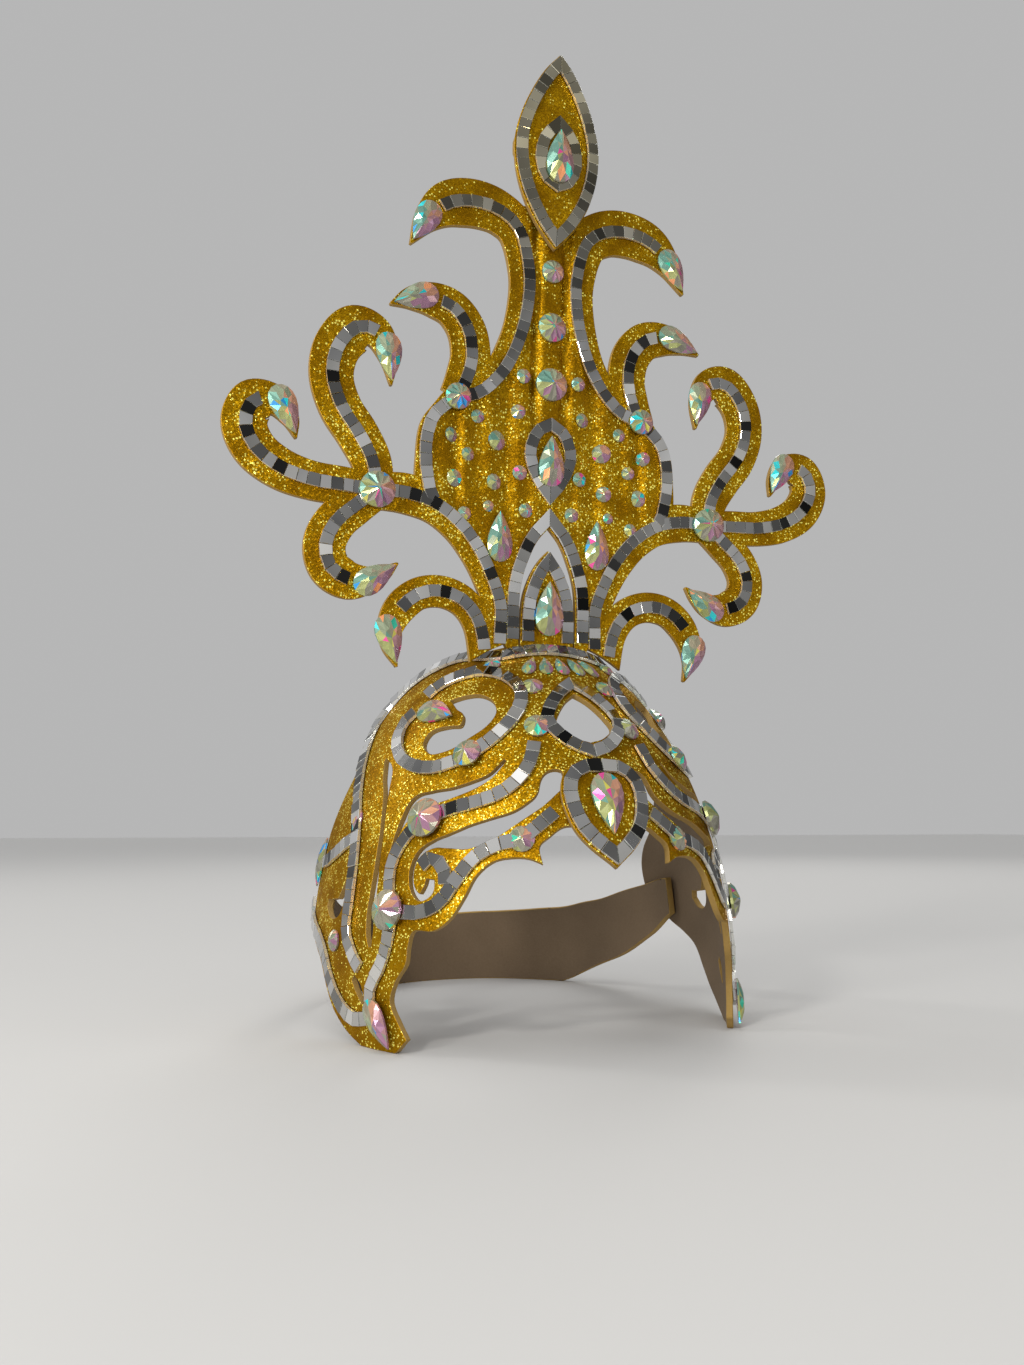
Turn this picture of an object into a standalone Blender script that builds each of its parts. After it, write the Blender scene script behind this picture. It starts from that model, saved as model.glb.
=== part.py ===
"""A gold carnival crown: bent foam sheets with mirror strips and cut stones.

Metres, +Z up. The wearer faces -Y, and +X is the wearer's left side.
The origin is on the floor, under the middle of the crown's box.

The sheets are laid out flat and then bent. The crest's layout is (x, height).
The cap's layout is the head as seen from above and flattened: a place is given
by its angle around from the front and its angle down from the top.
A height above a layout is measured along the bent sheet's normal.
"""

import math
from collections import namedtuple

import bmesh
import bpy
import numpy as np
from mathutils import Vector
from mathutils.geometry import delaunay_2d_cdt

for leftover in list(bpy.data.objects):
    bpy.data.objects.remove(leftover, do_unlink=True)

# Head dome that the cap follows, an upright oval above a short upright wall
HEAD_HALF_WIDTH = 0.083
HEAD_HALF_DEPTH = 0.103
DOME_RISE = 0.136
DOME_LEVEL = 0.020

# Crest: a panel that leans forward and whose sides come forward a little
CREST_HALF_SPAN = 0.130
CREST_RISE = 0.254
CREST_SEAT = 0.0378
CREST_LEAN = 0.051
CREST_BOW = 0.0056
ARM_WIDTH = 0.017
FOLD_DEPTH = 0.0025
FOOT_HALF_WIDTH = 0.024
SEATED_HALF_WIDTH = 0.0175
ARCH_HALF_WIDTH = 0.012
DROP_HALF_WIDTH = ARCH_HALF_WIDTH - 0.0006
FINIAL_BOW = 0.0025

# Sheets, strips and the gaps between pieces
FOAM = 0.0025
BAND_FOAM = 0.003
GAP = 0.0003
SEAT_GAP = 0.00045
LAP_GAP = 0.0008
MIRROR_WIDTH = 0.0048
MIRROR_THICK = 0.0012
BORDER_EDGE = 0.0006
OPENING_WIDTH = 0.010
TIP_MARGIN = 0.0015
STONE_ROOM = 0.001

# Where two strips stand side by side at the crest's foot, beyond the arch's strip
LEG_AWAY = ARCH_HALF_WIDTH + BORDER_EDGE + 1.5 * MIRROR_WIDTH + 2 * GAP
LOW_ARM_AWAY = LEG_AWAY + MIRROR_WIDTH + LAP_GAP

ON_FOAM = GAP
ON_MIRROR = GAP + MIRROR_THICK + GAP
LEAF_FRONT = GAP + FOAM

# Stones: shape, length and width
Cut = namedtuple("Cut", "shape length width")
TIP_PEAR = Cut("pear", 0.0190, 0.0105)
VASE_PEAR = Cut("pear", 0.0190, 0.0095)
DROP_PEAR = Cut("pear", 0.0220, 0.0120)
FINIAL_PEAR = Cut("pear", 0.0220, 0.0120)
FOREHEAD_PEAR = Cut("pear", 0.0225, 0.0120)
SCROLL_PEAR = Cut("pear", 0.0200, 0.0105)
LOBE_PEAR = Cut("pear", 0.0190, 0.0090)
VASE_NAVETTE = Cut("navette", 0.0210, 0.0110)
SIDE_NAVETTE = Cut("navette", 0.0200, 0.0085)
JOINT_ROUND = Cut("round", 0.0140, 0.0140)
SHOULDER_ROUND = Cut("round", 0.0105, 0.0105)
BELLY_ROUND = Cut("round", 0.0135, 0.0135)
CHEST_ROUND = Cut("round", 0.0120, 0.0120)
NECK_ROUND = Cut("round", 0.0095, 0.0095)
STONE_RISE = 0.30
GIRDLE = 0.28
TABLE = 0.54

# How far a curve may leave its chords, and the spacing of points in the meshes
FLATNESS = 0.0006
LONGEST_EDGE = 0.0125
FILL_STEP = 0.016
LEAF_FILL_STEP = 0.009
FILL_MARGIN = 0.005
LEAF_MARGIN = 0.003
NUDGE = 1e-5
MERGE = 2e-5
SHARPEST = 0.64
MITRE_SHARE = 0.9


def table(columns, *rows):
    """The rows as named columns of numbers."""
    return dict(zip(columns.split(), np.array(rows, float).T))


# Arms of the crest, root to tip. across: % of CREST_HALF_SPAN, up: % of
# CREST_RISE above the crest's root, wide: % of ARM_WIDTH
UPPER_CURL = table(
    "across up wide",
    (30.8, 38.4, 82), (23.5, 39.8, 82), (16.5, 43.5, 85), (11.5, 48.6, 89),
    (8.5, 54.9, 94), (8.1, 60.8, 98), (11.2, 67.1, 106), (17.7, 69.9, 113),
    (26.2, 70.6, 118), (34.6, 69.5, 108), (41.2, 66.5, 66), (46.4, 61.8, 5),
)
SECOND_CURL = table(
    "across up wide",
    (30.8, 38.4, 82), (27.7, 41.9, 98), (26.4, 45.5, 98), (27.9, 49.6, 98),
    (32.7, 52.6, 94), (39.6, 53.5, 82), (46.2, 53.0, 52), (52.2, 51.6, 5),
)
SWAN_ARM = table(
    "across up wide",
    (55.0, 22.2, 82), (56.5, 26.6, 94), (60.8, 30.5, 100), (66.2, 34.3, 100),
    (69.1, 38.8, 100), (67.7, 43.3, 104), (62.3, 46.7, 106), (55.8, 46.5, 78),
    (52.2, 43.1, 47), (51.2, 38.8, 5),
)
OUTER_ARM = table(
    "across up wide",
    (55.0, 22.2, 82), (64.6, 22.4, 86), (73.8, 22.6, 88), (82.7, 23.7, 94),
    (90.0, 26.1, 98), (93.3, 29.7, 98), (90.8, 33.1, 94), (84.6, 33.5, 71),
    (80.6, 31.3, 42), (78.7, 28.5, 5),
)
LOWER_ARM = table(
    "across up wide",
    (55.0, 22.2, 82), (60.8, 19.7, 88), (66.5, 16.9, 92), (69.5, 13.4, 94),
    (67.9, 10.0, 94), (62.3, 8.4, 88), (56.2, 8.7, 61), (51.5, 10.0, 35),
    (47.7, 11.6, 5),
)
# This one's across is counted from LOW_ARM_AWAY
LOW_ARM = table(
    "across up wide",
    (0.0, -3.0, 71), (1.9, 2.8, 74), (6.5, 6.3, 74), (13.5, 7.8, 74),
    (20.8, 7.3, 74), (26.2, 5.1, 74), (29.2, 2.2, 62), (29.5, -1.0, 38),
    (27.2, -4.1, 5),
)
LOW_ARM["across"] += 100 * LOW_ARM_AWAY / CREST_HALF_SPAN
ARMS = {
    "upper": UPPER_CURL,
    "second": SECOND_CURL,
    "swan": SWAN_ARM,
    "outer": OUTER_ARM,
    "lower": LOWER_ARM,
    "low": LOW_ARM,
}

# Branch from the joint of the three outer arms to the leg beside the arch
BRANCH = table(
    "across up wide",
    (55.0, 22.2, 82), (46.2, 22.4, 94), (36.9, 21.3, 94), (29.2, 18.7, 94),
    (23.5, 15.4, 94), (19.2, 11.4, 88),
)
LEG = table("up wide", (6.5, 82), (1.5, 76), (-3.0, 76))

# Half outlines and half paths on the crest, as shares of the same two sizes
VASE = table(
    "across up",
    (18.5, 8.5), (25.4, 15.2), (36.9, 19.1), (42.7, 23.4), (43.1, 28.9),
    (41.9, 33.7), (37.7, 37.2), (32.3, 40.4), (23.8, 42.3), (16.9, 45.9),
    (13.1, 50.6), (12.3, 56.1), (13.1, 60.8), (15.4, 64.0), (10.8, 71.9),
)
VASE_SIDE = table(
    "across up",
    (29.8, 38.9), (37.3, 35.6), (39.8, 32.5), (40.4, 28.9), (39.8, 25.8),
    (38.3, 22.6), (35.4, 20.7),
)
VASE_RING = table("across up", (0, 24.4), (4.2, 27.2), (6.8, 31.0), (4.6, 34.6), (0, 36.2))
FINIAL = table(
    "across up",
    (0, 64.9), (3.2, 66.6), (7.1, 69.1), (11.2, 73), (13.8, 77.6),
    (14.3, 82.4), (12.4, 86.8), (9, 91), (4.8, 94.7), (0, 97.6),
)
FINIAL_RING = table("across up", (0, 75.2), (3.9, 76.4), (6, 79.4), (4.6, 83), (0, 85.6))

# Soft upright folds of the vase: their depth across it and where they fade
FOLDS_ACROSS = table(
    "across deep", (0, 0), (12.7, 0), (16.2, 100), (22.3, 0), (30.8, 60), (36.9, 0)
)
FOLDS_UP = table("up deep", (18, 0), (26, 100), (33, 100), (41, 0))

# Half outlines of the arch, in % of ARCH_HALF_WIDTH, and of the drop that
# fills it, in % of DROP_HALF_WIDTH. Both run on below the crest's foot
ARCH = table(
    "wide up",
    (100, -12), (100, 2.5), (100, 6.9), (93, 10.4), (71, 13.8), (40, 17.0), (0, 19.3),
)
BASE_DROP = table(
    "wide up",
    (100, -12), (100, 1), (100, 5.0), (91, 8.5), (63, 11.9), (31, 14.2), (0, 15.7),
)

# The cap's half outline, in degrees around from the front and down from the top
CAP_REAR = table(
    "around down",
    (0, 17), (16, 17.8), (31, 20.1), (45, 22.2), (58, 23.2), (72, 25.2),
    (86, 28.2), (96, 32), (102, 38), (99.5, 46), (93, 52), (91, 56), (95, 61),
    (100, 66), (105, 70), (107, 74), (106, 78.5), (102, 82),
)
CAP_LOBE = table(
    "around down",
    (102, 82), (96, 84.3), (90, 86), (84.5, 88), (80, 91.5), (75.5, 94.4),
    (70, 96.6), (65, 98), (60, 99), (54, 99), (49.5, 96.4),
)
CAP_FRONT = table(
    "around down",
    (49.5, 96.4), (51.8, 94.3), (54.3, 91.5), (53, 88.6), (50.3, 86), (49.8, 83.4),
    (48.5, 81.2), (43.5, 81), (39.5, 79.3), (36.3, 76.3), (33.5, 73), (29.5, 70.9),
    (25, 70.3), (21, 70.4), (17.6, 71.2),
)
CAP_BROW = table("around down", (17.6, 71.2), (18.2, 68.6), (15.4, 67), (12, 65.6), (8, 65.4), (0, 66))

# Openings of the cap that are cut along a path. wide: % of OPENING_WIDTH
SLOT = table(
    "around down wide",
    (71, 53, 10), (67, 55.9, 55), (64.8, 59.5, 32), (63.5, 63, 24), (62.4, 67, 24),
    (62, 71, 26), (61.8, 75, 36), (62, 79, 44), (61.8, 82, 40), (61.3, 84, 16),
)
CRESCENT = table(
    "around down wide",
    (27, 54.2, 10), (31, 57, 20), (36, 58.7, 32), (42, 60, 40), (48, 60.9, 56),
    (52.5, 62, 68), (55.2, 64.4, 36), (56.8, 67, 20), (58, 70, 10),
)
LENS = table(
    "around down wide",
    (10.5, 57.5, 60), (13.5, 58, 84), (16.3, 60.4, 52), (19, 62, 42), (24, 64, 44),
    (30, 65.8, 72), (36, 67.2, 80), (41, 67.8, 50), (45, 68.3, 28), (48.8, 69.8, 22),
    (50.4, 72.3, 20), (49.8, 74.9, 20), (47.6, 76.3, 24), (45.4, 75.2, 44),
    (45, 73.6, 34),
)
SIDE_HOLE = table(
    "around down wide",
    (73.4, 71.5, 10), (74, 75, 24), (76.2, 78.6, 66), (80, 79.2, 70), (83.5, 78.5, 30),
)
LOBE_EYE = table("around down wide", (67, 88.9, 24), (65, 90.2, 40), (63, 92.2, 20))
SLITS = (SLOT, CRESCENT, LENS, SIDE_HOLE, LOBE_EYE)

# Openings of the cap with an outline of their own
COMMA = table(
    "around down",
    (50.5, 40.2), (44.5, 39.2), (38, 39.2), (32.5, 41.2), (31, 44.3), (34, 47.3),
    (39, 49.6), (44.5, 51.8), (51, 52.6), (55.3, 50.6), (54.2, 47.8), (48, 46.8),
    (43.2, 46.6), (43, 44.2), (46.5, 42.6),
)
BROW_EYE = table("around down", (0, 39.3), (5, 41.5), (9.5, 45.3), (10.2, 47.6), (5, 49.8), (0, 50.7))

# Middle lines of the cap's mirror strips
SEAM = table(
    "around down",
    (0, 24.4), (12, 24.7), (22, 25.6), (31, 26.7), (39, 26.6), (47, 25.9), (55, 25.6),
    (64, 26.1), (74, 28), (84, 30.6), (92.5, 34.2), (98, 39), (95.5, 44.5), (89, 49.5),
    (83.5, 54.5), (79, 59), (75, 63.4), (72, 68), (70.4, 73), (70, 78),
    (70, 82), (66.8, 85.4), (63.8, 87.2),
)
SIDE_TOP = table("around down", (72.3, 67.6), (77, 68.6), (82, 70.2), (88, 71.6), (92.5, 72))
SCROLL = table(
    "around down",
    (64.5, 43), (67.8, 46.2), (66, 50.4), (61, 53.6), (54.5, 55.2), (48, 55.5),
    (42, 54.5), (36, 52.6), (30.5, 50), (25.5, 46.6), (22, 42.8), (22, 38.6),
    (26.5, 35.2), (34.5, 33), (43, 32.6), (52, 34), (59, 36.2), (62.6, 39),
)
BAND = table(
    "around down",
    (18.2, 51), (20, 55), (23.5, 58), (28.5, 60.4), (35, 61.8), (42, 63),
    (48.5, 64.8), (53.5, 67.8), (56.3, 72), (55.6, 76.6), (54.6, 81), (56.6, 86),
    (59.6, 89.4), (59.8, 92.2), (57.4, 95),
)
RIM = table(
    "around down",
    (14, 63.3), (17, 64.8), (22.5, 67.4), (28.5, 68.4), (34, 70.4), (38, 73.6),
    (42, 77), (47.5, 78.5), (55, 78.6),
)
CURL = table("around down", (40.4, 75.6), (41.2, 72.2), (44.6, 70.4), (47.4, 71.8))
SIDE_EDGE = table(
    "around down",
    (99.5, 78.6), (97.5, 81.2), (91.5, 82.8), (85, 84.4), (80.5, 86.6), (76.5, 90),
    (71.5, 93), (66, 94.6), (61, 94.2), (58, 93.6),
)
BROW_RING = table(
    "around down",
    (0, 36.8), (6.5, 39.4), (11.8, 43.4), (13.2, 46.8), (9, 50), (4.5, 51.8), (0, 52.8),
)

# Half outlines of the forehead's drop and of the plain band at the back
FOREHEAD_DROP = table(
    "around down",
    (0, 54.8), (6, 55.1), (10.6, 57), (12.2, 60), (11.6, 63.2), (9.4, 66.6),
    (5.4, 69.4), (0, 72.1),
)
BACK_BAND = table(
    "around down",
    (180, 84.6), (166, 84.3), (153, 83.9), (140, 83.2), (130, 81.8), (120, 80.2),
    (106, 77.5), (93, 75.6), (93, 82.5), (104, 87.5), (117, 92.5), (133, 97.2),
    (144, 99), (156, 99), (168, 99), (180, 99),
)

# Stones on the middle of the crest: name, cut, share of CREST_RISE, height
CREST_MIDDLE = (
    ("neck_round", NECK_ROUND, 61.6, ON_FOAM),
    ("chest_round", CHEST_ROUND, 52.2, ON_FOAM),
    ("belly_round", BELLY_ROUND, 42.7, ON_FOAM),
    ("vase_navette", VASE_NAVETTE, 30.0, ON_MIRROR),
    ("base_drop_pear", DROP_PEAR, 6.3, ON_MIRROR),
)
FINIAL_PEAR_UP = 79.9
FOREHEAD_PEAR_DOWN = 62.4
CREST_PAIRS = (
    ("joint_round", JOINT_ROUND, 55.0, 22.2, ON_MIRROR),
    ("shoulder_round", SHOULDER_ROUND, 30.8, 38.4, ON_MIRROR),
    ("vase_pear", VASE_PEAR, 16.2, 17.2, ON_FOAM),
)

# Stones on the cap: where each sits, and a place that its tip points towards
Seat = namedtuple("Seat", "name cut around down tip_around tip_down height")
CAP_PAIRS = (
    Seat("scroll_pear", SCROLL_PEAR, 54.5, 43.4, 44, 45.2, ON_FOAM),
    Seat("scroll_round", SHOULDER_ROUND, 38, 53.3, 36, 52.6, ON_MIRROR),
    Seat("band_round", JOINT_ROUND, 47.5, 64.4, 42, 63, ON_MIRROR),
    Seat("band_joint_round", JOINT_ROUND, 55.2, 78.4, 54.6, 81, ON_MIRROR),
    Seat("lobe_pear", LOBE_PEAR, 56.6, 94.6, 53.4, 97.4, ON_MIRROR),
    Seat("side_navette", SIDE_NAVETTE, 98.5, 72.2, 98, 68, ON_FOAM),
)
SIDES = {"right": -1, "left": 1}


def unit(arrows):
    return arrows / np.linalg.norm(arrows, axis=-1, keepdims=True)


def lifted(points, normals, height):
    return points + np.reshape(height, (-1, 1)) * unit(normals)


def dome_top(x, y):
    """Height of the cap's outer face over a place on the floor."""
    return DOME_LEVEL + DOME_RISE * np.sqrt(
        1 - (x / HEAD_HALF_WIDTH) ** 2 - (y / HEAD_HALF_DEPTH) ** 2
    )


CREST_ROOT = float(dome_top(0.0, CREST_SEAT))


def on_crest(flat, height=0.0):
    """Points in front of the crest's face."""
    x, z = flat.T
    share = x / CREST_HALF_SPAN
    y = -(CREST_SEAT + CREST_LEAN * (z - CREST_ROOT) + CREST_BOW * share**2)
    slope = -2 * CREST_BOW * share / CREST_HALF_SPAN
    normals = np.stack([slope, np.full_like(x, -1), np.full_like(x, -CREST_LEAN)], 1)
    return lifted(np.stack([x, y, z], 1), normals, height)


def on_vase(flat, height=0.0):
    """Points of the crest's face with the folds of the vase let into it."""
    across = np.abs(flat[:, 0]) / CREST_HALF_SPAN * 100
    up = (flat[:, 1] - CREST_ROOT) / CREST_RISE * 100
    deep = np.interp(across, FOLDS_ACROSS["across"], FOLDS_ACROSS["deep"]) / 100
    deep = deep * np.interp(up, FOLDS_UP["up"], FOLDS_UP["deep"]) / 100
    return on_crest(flat, height - FOLD_DEPTH * deep)


def on_finial(flat, height=0.0):
    """Points in front of the crest's face, bowed forward along the finial."""
    across = flat[:, 0] / CREST_HALF_SPAN * 100
    up = (flat[:, 1] - CREST_ROOT) / CREST_RISE * 100
    widest = FINIAL["across"].argmax()
    rise = np.clip(np.interp(up, FINIAL["up"][[0, widest]], [0, 1]), 0, 1)
    round_off = np.clip(1 - (across / FINIAL["across"][widest]) ** 2, 0, 1)
    return on_crest(flat, height + FINIAL_BOW * rise * round_off)


def on_dome(flat, height=0.0):
    """Points over the cap's outer face, which turns into an upright wall."""
    down = np.hypot(*flat.T) / DOME_RISE
    down = np.minimum(down, math.pi / 2 + DOME_LEVEL / DOME_RISE)
    around = np.arctan2(flat[:, 0], -flat[:, 1])
    bent = np.minimum(down, math.pi / 2)
    x = HEAD_HALF_WIDTH * np.sin(bent) * np.sin(around)
    y = -HEAD_HALF_DEPTH * np.sin(bent) * np.cos(around)
    rise = DOME_RISE * np.cos(bent)
    z = DOME_LEVEL + rise - DOME_RISE * (down - bent)
    normals = np.stack(
        [x / HEAD_HALF_WIDTH**2, y / HEAD_HALF_DEPTH**2, rise / DOME_RISE**2], 1
    )
    return lifted(np.stack([x, y, z], 1), normals, height)


def crest_flat(across, up):
    """Places on the crest's layout from shares of its half span and rise."""
    across, up = np.broadcast_arrays(across, up)
    return np.stack([CREST_HALF_SPAN / 100 * across, CREST_ROOT + CREST_RISE / 100 * up], -1)


def dome_flat(around, down):
    """Places on the cap's layout from angles in degrees."""
    reach = DOME_RISE * np.radians(down)
    return np.stack([reach * np.sin(np.radians(around)), -reach * np.cos(np.radians(around))], -1)


def arch_flat(rows, half_width):
    return crest_flat(rows["wide"] * half_width / CREST_HALF_SPAN, rows["up"])


def smooth(points):
    """The points of a Catmull-Rom curve, with one more wherever it bends or is long."""
    padded = np.vstack([2 * points[0] - points[1], points, 2 * points[-1] - points[-2]])
    middle = (9 * (padded[1:-2] + padded[2:-1]) - padded[:-3] - padded[3:]) / 16
    bend = (middle - (points[:-1] + points[1:]) / 2)[:, :2]
    chord = np.diff(points, axis=0)[:, :2]
    added = (np.hypot(*bend.T) > FLATNESS) | (np.hypot(*chord.T) > LONGEST_EDGE)
    order = np.append(np.arange(len(points)), np.flatnonzero(added) + 0.5)
    return np.vstack([points, middle[added]])[np.argsort(order)]


def curve_on_crest(rows):
    return smooth(crest_flat(rows["across"], rows["up"]))


def curve_on_dome(rows):
    return smooth(dome_flat(rows["around"], rows["down"]))


def tapered(place, flat, half):
    """The outline of a band along smoothed points, with a half width at each."""
    course = smooth(np.column_stack([flat, half]))
    return ribbon(place, course[:, :2], course[:, 2])


def chained(*curves):
    """Curves that follow each other, each starting where the last one ends."""
    return np.vstack([curves[0], *(curve[1:] for curve in curves[1:])])


def flipped(flat):
    return flat * [-1, 1]


def both_halves(half):
    """A closed outline from the half of it at +X, with both ends on the middle."""
    return np.vstack([half, flipped(half)[-2:0:-1]])


def through_middle(half):
    """An open path from the half of it at +X, which starts on the middle."""
    return np.vstack([flipped(half)[:0:-1], half])


def shifted(place, path, depth, closed=True):
    """The path moved to its left by a depth measured on the bent sheet, mitred."""
    base = place(path)
    slopes = np.stack([place(path + step) - base for step in NUDGE * np.eye(2)], -1) / NUDGE
    ahead = np.roll(path, -1, axis=0) - path
    behind = np.roll(ahead, 1, axis=0)
    if not closed:
        ahead[-1] = behind[-1]
        behind[0] = ahead[0]
    turn = sum(unit((slopes @ arrow[:, :, None])[:, :, 0]) for arrow in (ahead, behind))
    left = np.cross(unit(np.cross(slopes[:, :, 0], slopes[:, :, 1])), turn)
    stretch = 2 / np.maximum((turn**2).sum(1), SHARPEST) * depth
    return path + (np.linalg.pinv(slopes) @ (left * stretch[:, None])[:, :, None])[:, :, 0]


def ribbon(place, path, half):
    """The outline of a band along a path, given its half width at each point."""
    return np.vstack([shifted(place, path, half, False), shifted(place, path, -half, False)[::-1]])


def counter_clockwise(outline):
    x, y = outline.T
    turning = (x * np.roll(y, -1) - y * np.roll(x, -1)).sum()
    return outline if turning > 0 else outline[::-1]


def distance(points, loop):
    """The distance from each point to a closed chain of straight edges."""
    edges = np.roll(loop, -1, axis=0) - loop
    reach = points[:, None] - loop
    share = np.clip((reach * edges).sum(2) / (edges**2).sum(1), 0, 1)
    return np.linalg.norm(reach - share[:, :, None] * edges, axis=2).min(1)


def inset(place, outline, depth):
    """A symmetric outline moved inwards, less the points that cross its tips."""
    outline = counter_clockwise(outline)
    inner = shifted(place, outline, depth)
    clear = distance(place(inner), place(outline)) > MITRE_SHARE * abs(depth)
    return inner[clear & (inner[:, 0] * outline[:, 0] >= 0)]


def filling(place, loops, step, margin):
    """A grid of points on a layout that keeps a margin from every loop."""
    corners = np.vstack(loops)
    marks = [step * np.arange(-99, 100)] * 2
    grid = np.stack(np.meshgrid(*marks), -1).reshape(-1, 2)
    grid = grid[((grid > corners.min(0)) & (grid < corners.max(0))).all(1)]
    return grid[np.min([distance(place(grid), place(loop)) for loop in loops], 0) > margin]


def trimmed(place, path, start, end):
    """The path without those lengths at its start and end."""
    steps = np.linalg.norm(np.diff(place(path), axis=0), axis=1)
    length = np.append(0, np.cumsum(steps))
    marks = np.clip(length, start, length[-1] - end)
    marks = marks[np.append(True, np.diff(marks) > MERGE)]
    return np.stack([np.interp(marks, length, column) for column in path.T], 1)


def strip(place, path, start=0.0, end=0.0):
    """The outline of a mirror strip along part of a path."""
    path = trimmed(place, path, start, end)
    return ribbon(place, path, np.full(len(path), MIRROR_WIDTH / 2))


def sheet(name, material, place, low, high, outlines, cuts=(), creases=(), fill=()):
    """One sheet between two heights: all the outlines, joined, less the cuts."""
    corners, loops, edges = [], [], []
    for outline in (*outlines, *cuts):
        loops.append(list(range(len(corners), len(corners) + len(outline))))
        corners.extend(counter_clockwise(outline))
    for crease in creases:
        edges.extend((i, i + 1) for i in range(len(corners), len(corners) + len(crease) - 1))
        corners.extend(crease)
    corners.extend(fill)
    points, _, faces, _, _, owners = delaunay_2d_cdt(
        [Vector(corner) for corner in corners], edges, loops, 0, MERGE
    )
    inside = [bool(found) and max(found) < len(outlines) for found in owners]
    used, faces = np.unique(np.array(faces)[inside], return_inverse=True)
    faces = faces.reshape(-1, 3)
    flat = np.array(points)[used]
    return add(name, closed_mesh(name, place(flat, high), place(flat, low), faces), material)


def closed_mesh(name, front, back, faces):
    """A mesh of a front face, the same face behind it, and the walls between."""
    sides = np.concatenate([faces[:, [0, 1]], faces[:, [1, 2]], faces[:, [2, 0]]])
    rim = np.array(sorted(set(map(tuple, sides)) - set(map(tuple, sides[:, ::-1]))))
    walls = np.hstack([rim[:, ::-1], rim + len(front)])
    mesh = bpy.data.meshes.new(name)
    back_faces = faces[:, ::-1] + len(front)
    mesh.from_pydata(np.vstack([front, back]), [], [*faces, *back_faces, *walls])
    return mesh


def add(name, mesh, material):
    mesh.materials.append(material)
    piece = bpy.data.objects.new(name, mesh)
    crown.objects.link(piece)
    return piece


def strips(name, place, outlines, cuts=(), base=0.0):
    """A node of mirror strips, a hair above the sheet that carries them."""
    return sheet(name, MIRROR, place, base + GAP, base + GAP + MIRROR_THICK, outlines, cuts)


def border(name, place, outline, cuts=(), base=0.0):
    """A mirror strip just inside the edge of a piece."""
    outer = inset(place, outline, BORDER_EDGE)
    inner = inset(place, outline, BORDER_EDGE + MIRROR_WIDTH)
    return strips(name, place, [outer], [inner, *cuts], base)


def ring(name, place, half, base=0.0):
    """A mirror strip along a closed path."""
    path = counter_clockwise(both_halves(smooth(half)))
    outer, inner = (shifted(place, path, side * MIRROR_WIDTH / 2) for side in (-1, 1))
    return strips(name, place, [outer], [inner], base)


def cut_outline(cut, count):
    """A stone's outline, with its point or one corner at +Y."""
    turn = 2 * math.pi / count * np.arange(count)
    swell = {
        "pear": np.sin(turn / 2) / 0.77,
        "navette": np.abs(np.sin(turn)) ** 0.4,
        "round": np.ones(count),
    }[cut.shape]
    return np.stack([cut.width / 2 * np.sin(turn) * swell, cut.length / 2 * np.cos(turn)], 1)


def stone(name, cut, place, middle, tip, height):
    """A cut stone: a flat back, a girdle, a ring of facets and a table."""
    edge = cut_outline(cut, 8 if cut.shape == "round" else 10)
    table_edge = TABLE / 2 * (edge + np.roll(edge, -1, axis=0))
    rise = STONE_RISE * cut.width
    layers = (edge, 0.0), (edge, GIRDLE * rise), (table_edge, rise)
    shape = np.vstack([np.insert(layer, 2, level, axis=1) for layer, level in layers])
    seat, ahead = place(np.array([middle, tip]), height)
    up = unit(place(np.array([middle]), height + NUDGE)[0] - seat)
    forward = unit(ahead - seat - np.dot(ahead - seat, up) * up)
    mesh = bpy.data.meshes.new(name)
    mesh.from_pydata(seat + shape @ np.array([np.cross(forward, up), forward, up]), [], [])
    solid = bmesh.new()
    solid.from_mesh(mesh)
    bmesh.ops.convex_hull(solid, input=solid.verts)
    bmesh.ops.recalc_face_normals(solid, faces=solid.faces)
    solid.to_mesh(mesh)
    solid.free()
    return add(name, mesh, CRYSTAL)


def below_foot():
    """What is cut off the crest so that it stands on the cap, scribed to it.

    Beyond its seat the crest also clears the strip that runs along the cap.
    """
    x = np.linspace(-1, 1, 13) * 1.5 * FOOT_HALF_WIDTH
    z = np.full_like(x, CREST_ROOT)
    over_strip = np.abs(x) > SEATED_HALF_WIDTH
    for _ in range(9):
        rear = on_crest(np.stack([x, z], 1), -FOAM)[:, 1]
        z = dome_top(x, rear) + SEAT_GAP + 1.5 * ON_MIRROR * over_strip
    deep = np.full_like(x, CREST_ROOT - CREST_RISE / 4)
    return np.vstack([np.stack([x, z], 1), np.stack([x, deep], 1)[::-1]])


def branch_points():
    """The branch down to its leg beside the arch."""
    leg = crest_flat(100 * LEG_AWAY / CREST_HALF_SPAN, LEG["up"])
    return np.vstack([crest_flat(BRANCH["across"], BRANCH["up"]), leg])


def arm_outlines():
    arms = [(crest_flat(rows["across"], rows["up"]), rows["wide"]) for rows in ARMS.values()]
    arms.append((branch_points(), np.append(BRANCH["wide"], LEG["wide"])))
    return [tapered(on_crest, flat, wide * ARM_WIDTH / 200) for flat, wide in arms]


def arch_outline():
    return both_halves(bottomed(smooth(arch_flat(ARCH, ARCH_HALF_WIDTH))))


def bottomed(half):
    """The half with a start on the middle."""
    return np.vstack([[0, half[0, 1]], half])


def fold_creases():
    levels = FOLDS_UP["up"]
    across = FOLDS_ACROSS["across"]
    upright = [crest_flat([x, x], levels[[0, -1]]) for x in np.append(across, -across[1:])]
    level = [crest_flat(across[[-1, -1]] * [-1, 1], [up, up]) for up in levels]
    return upright + level


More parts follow.
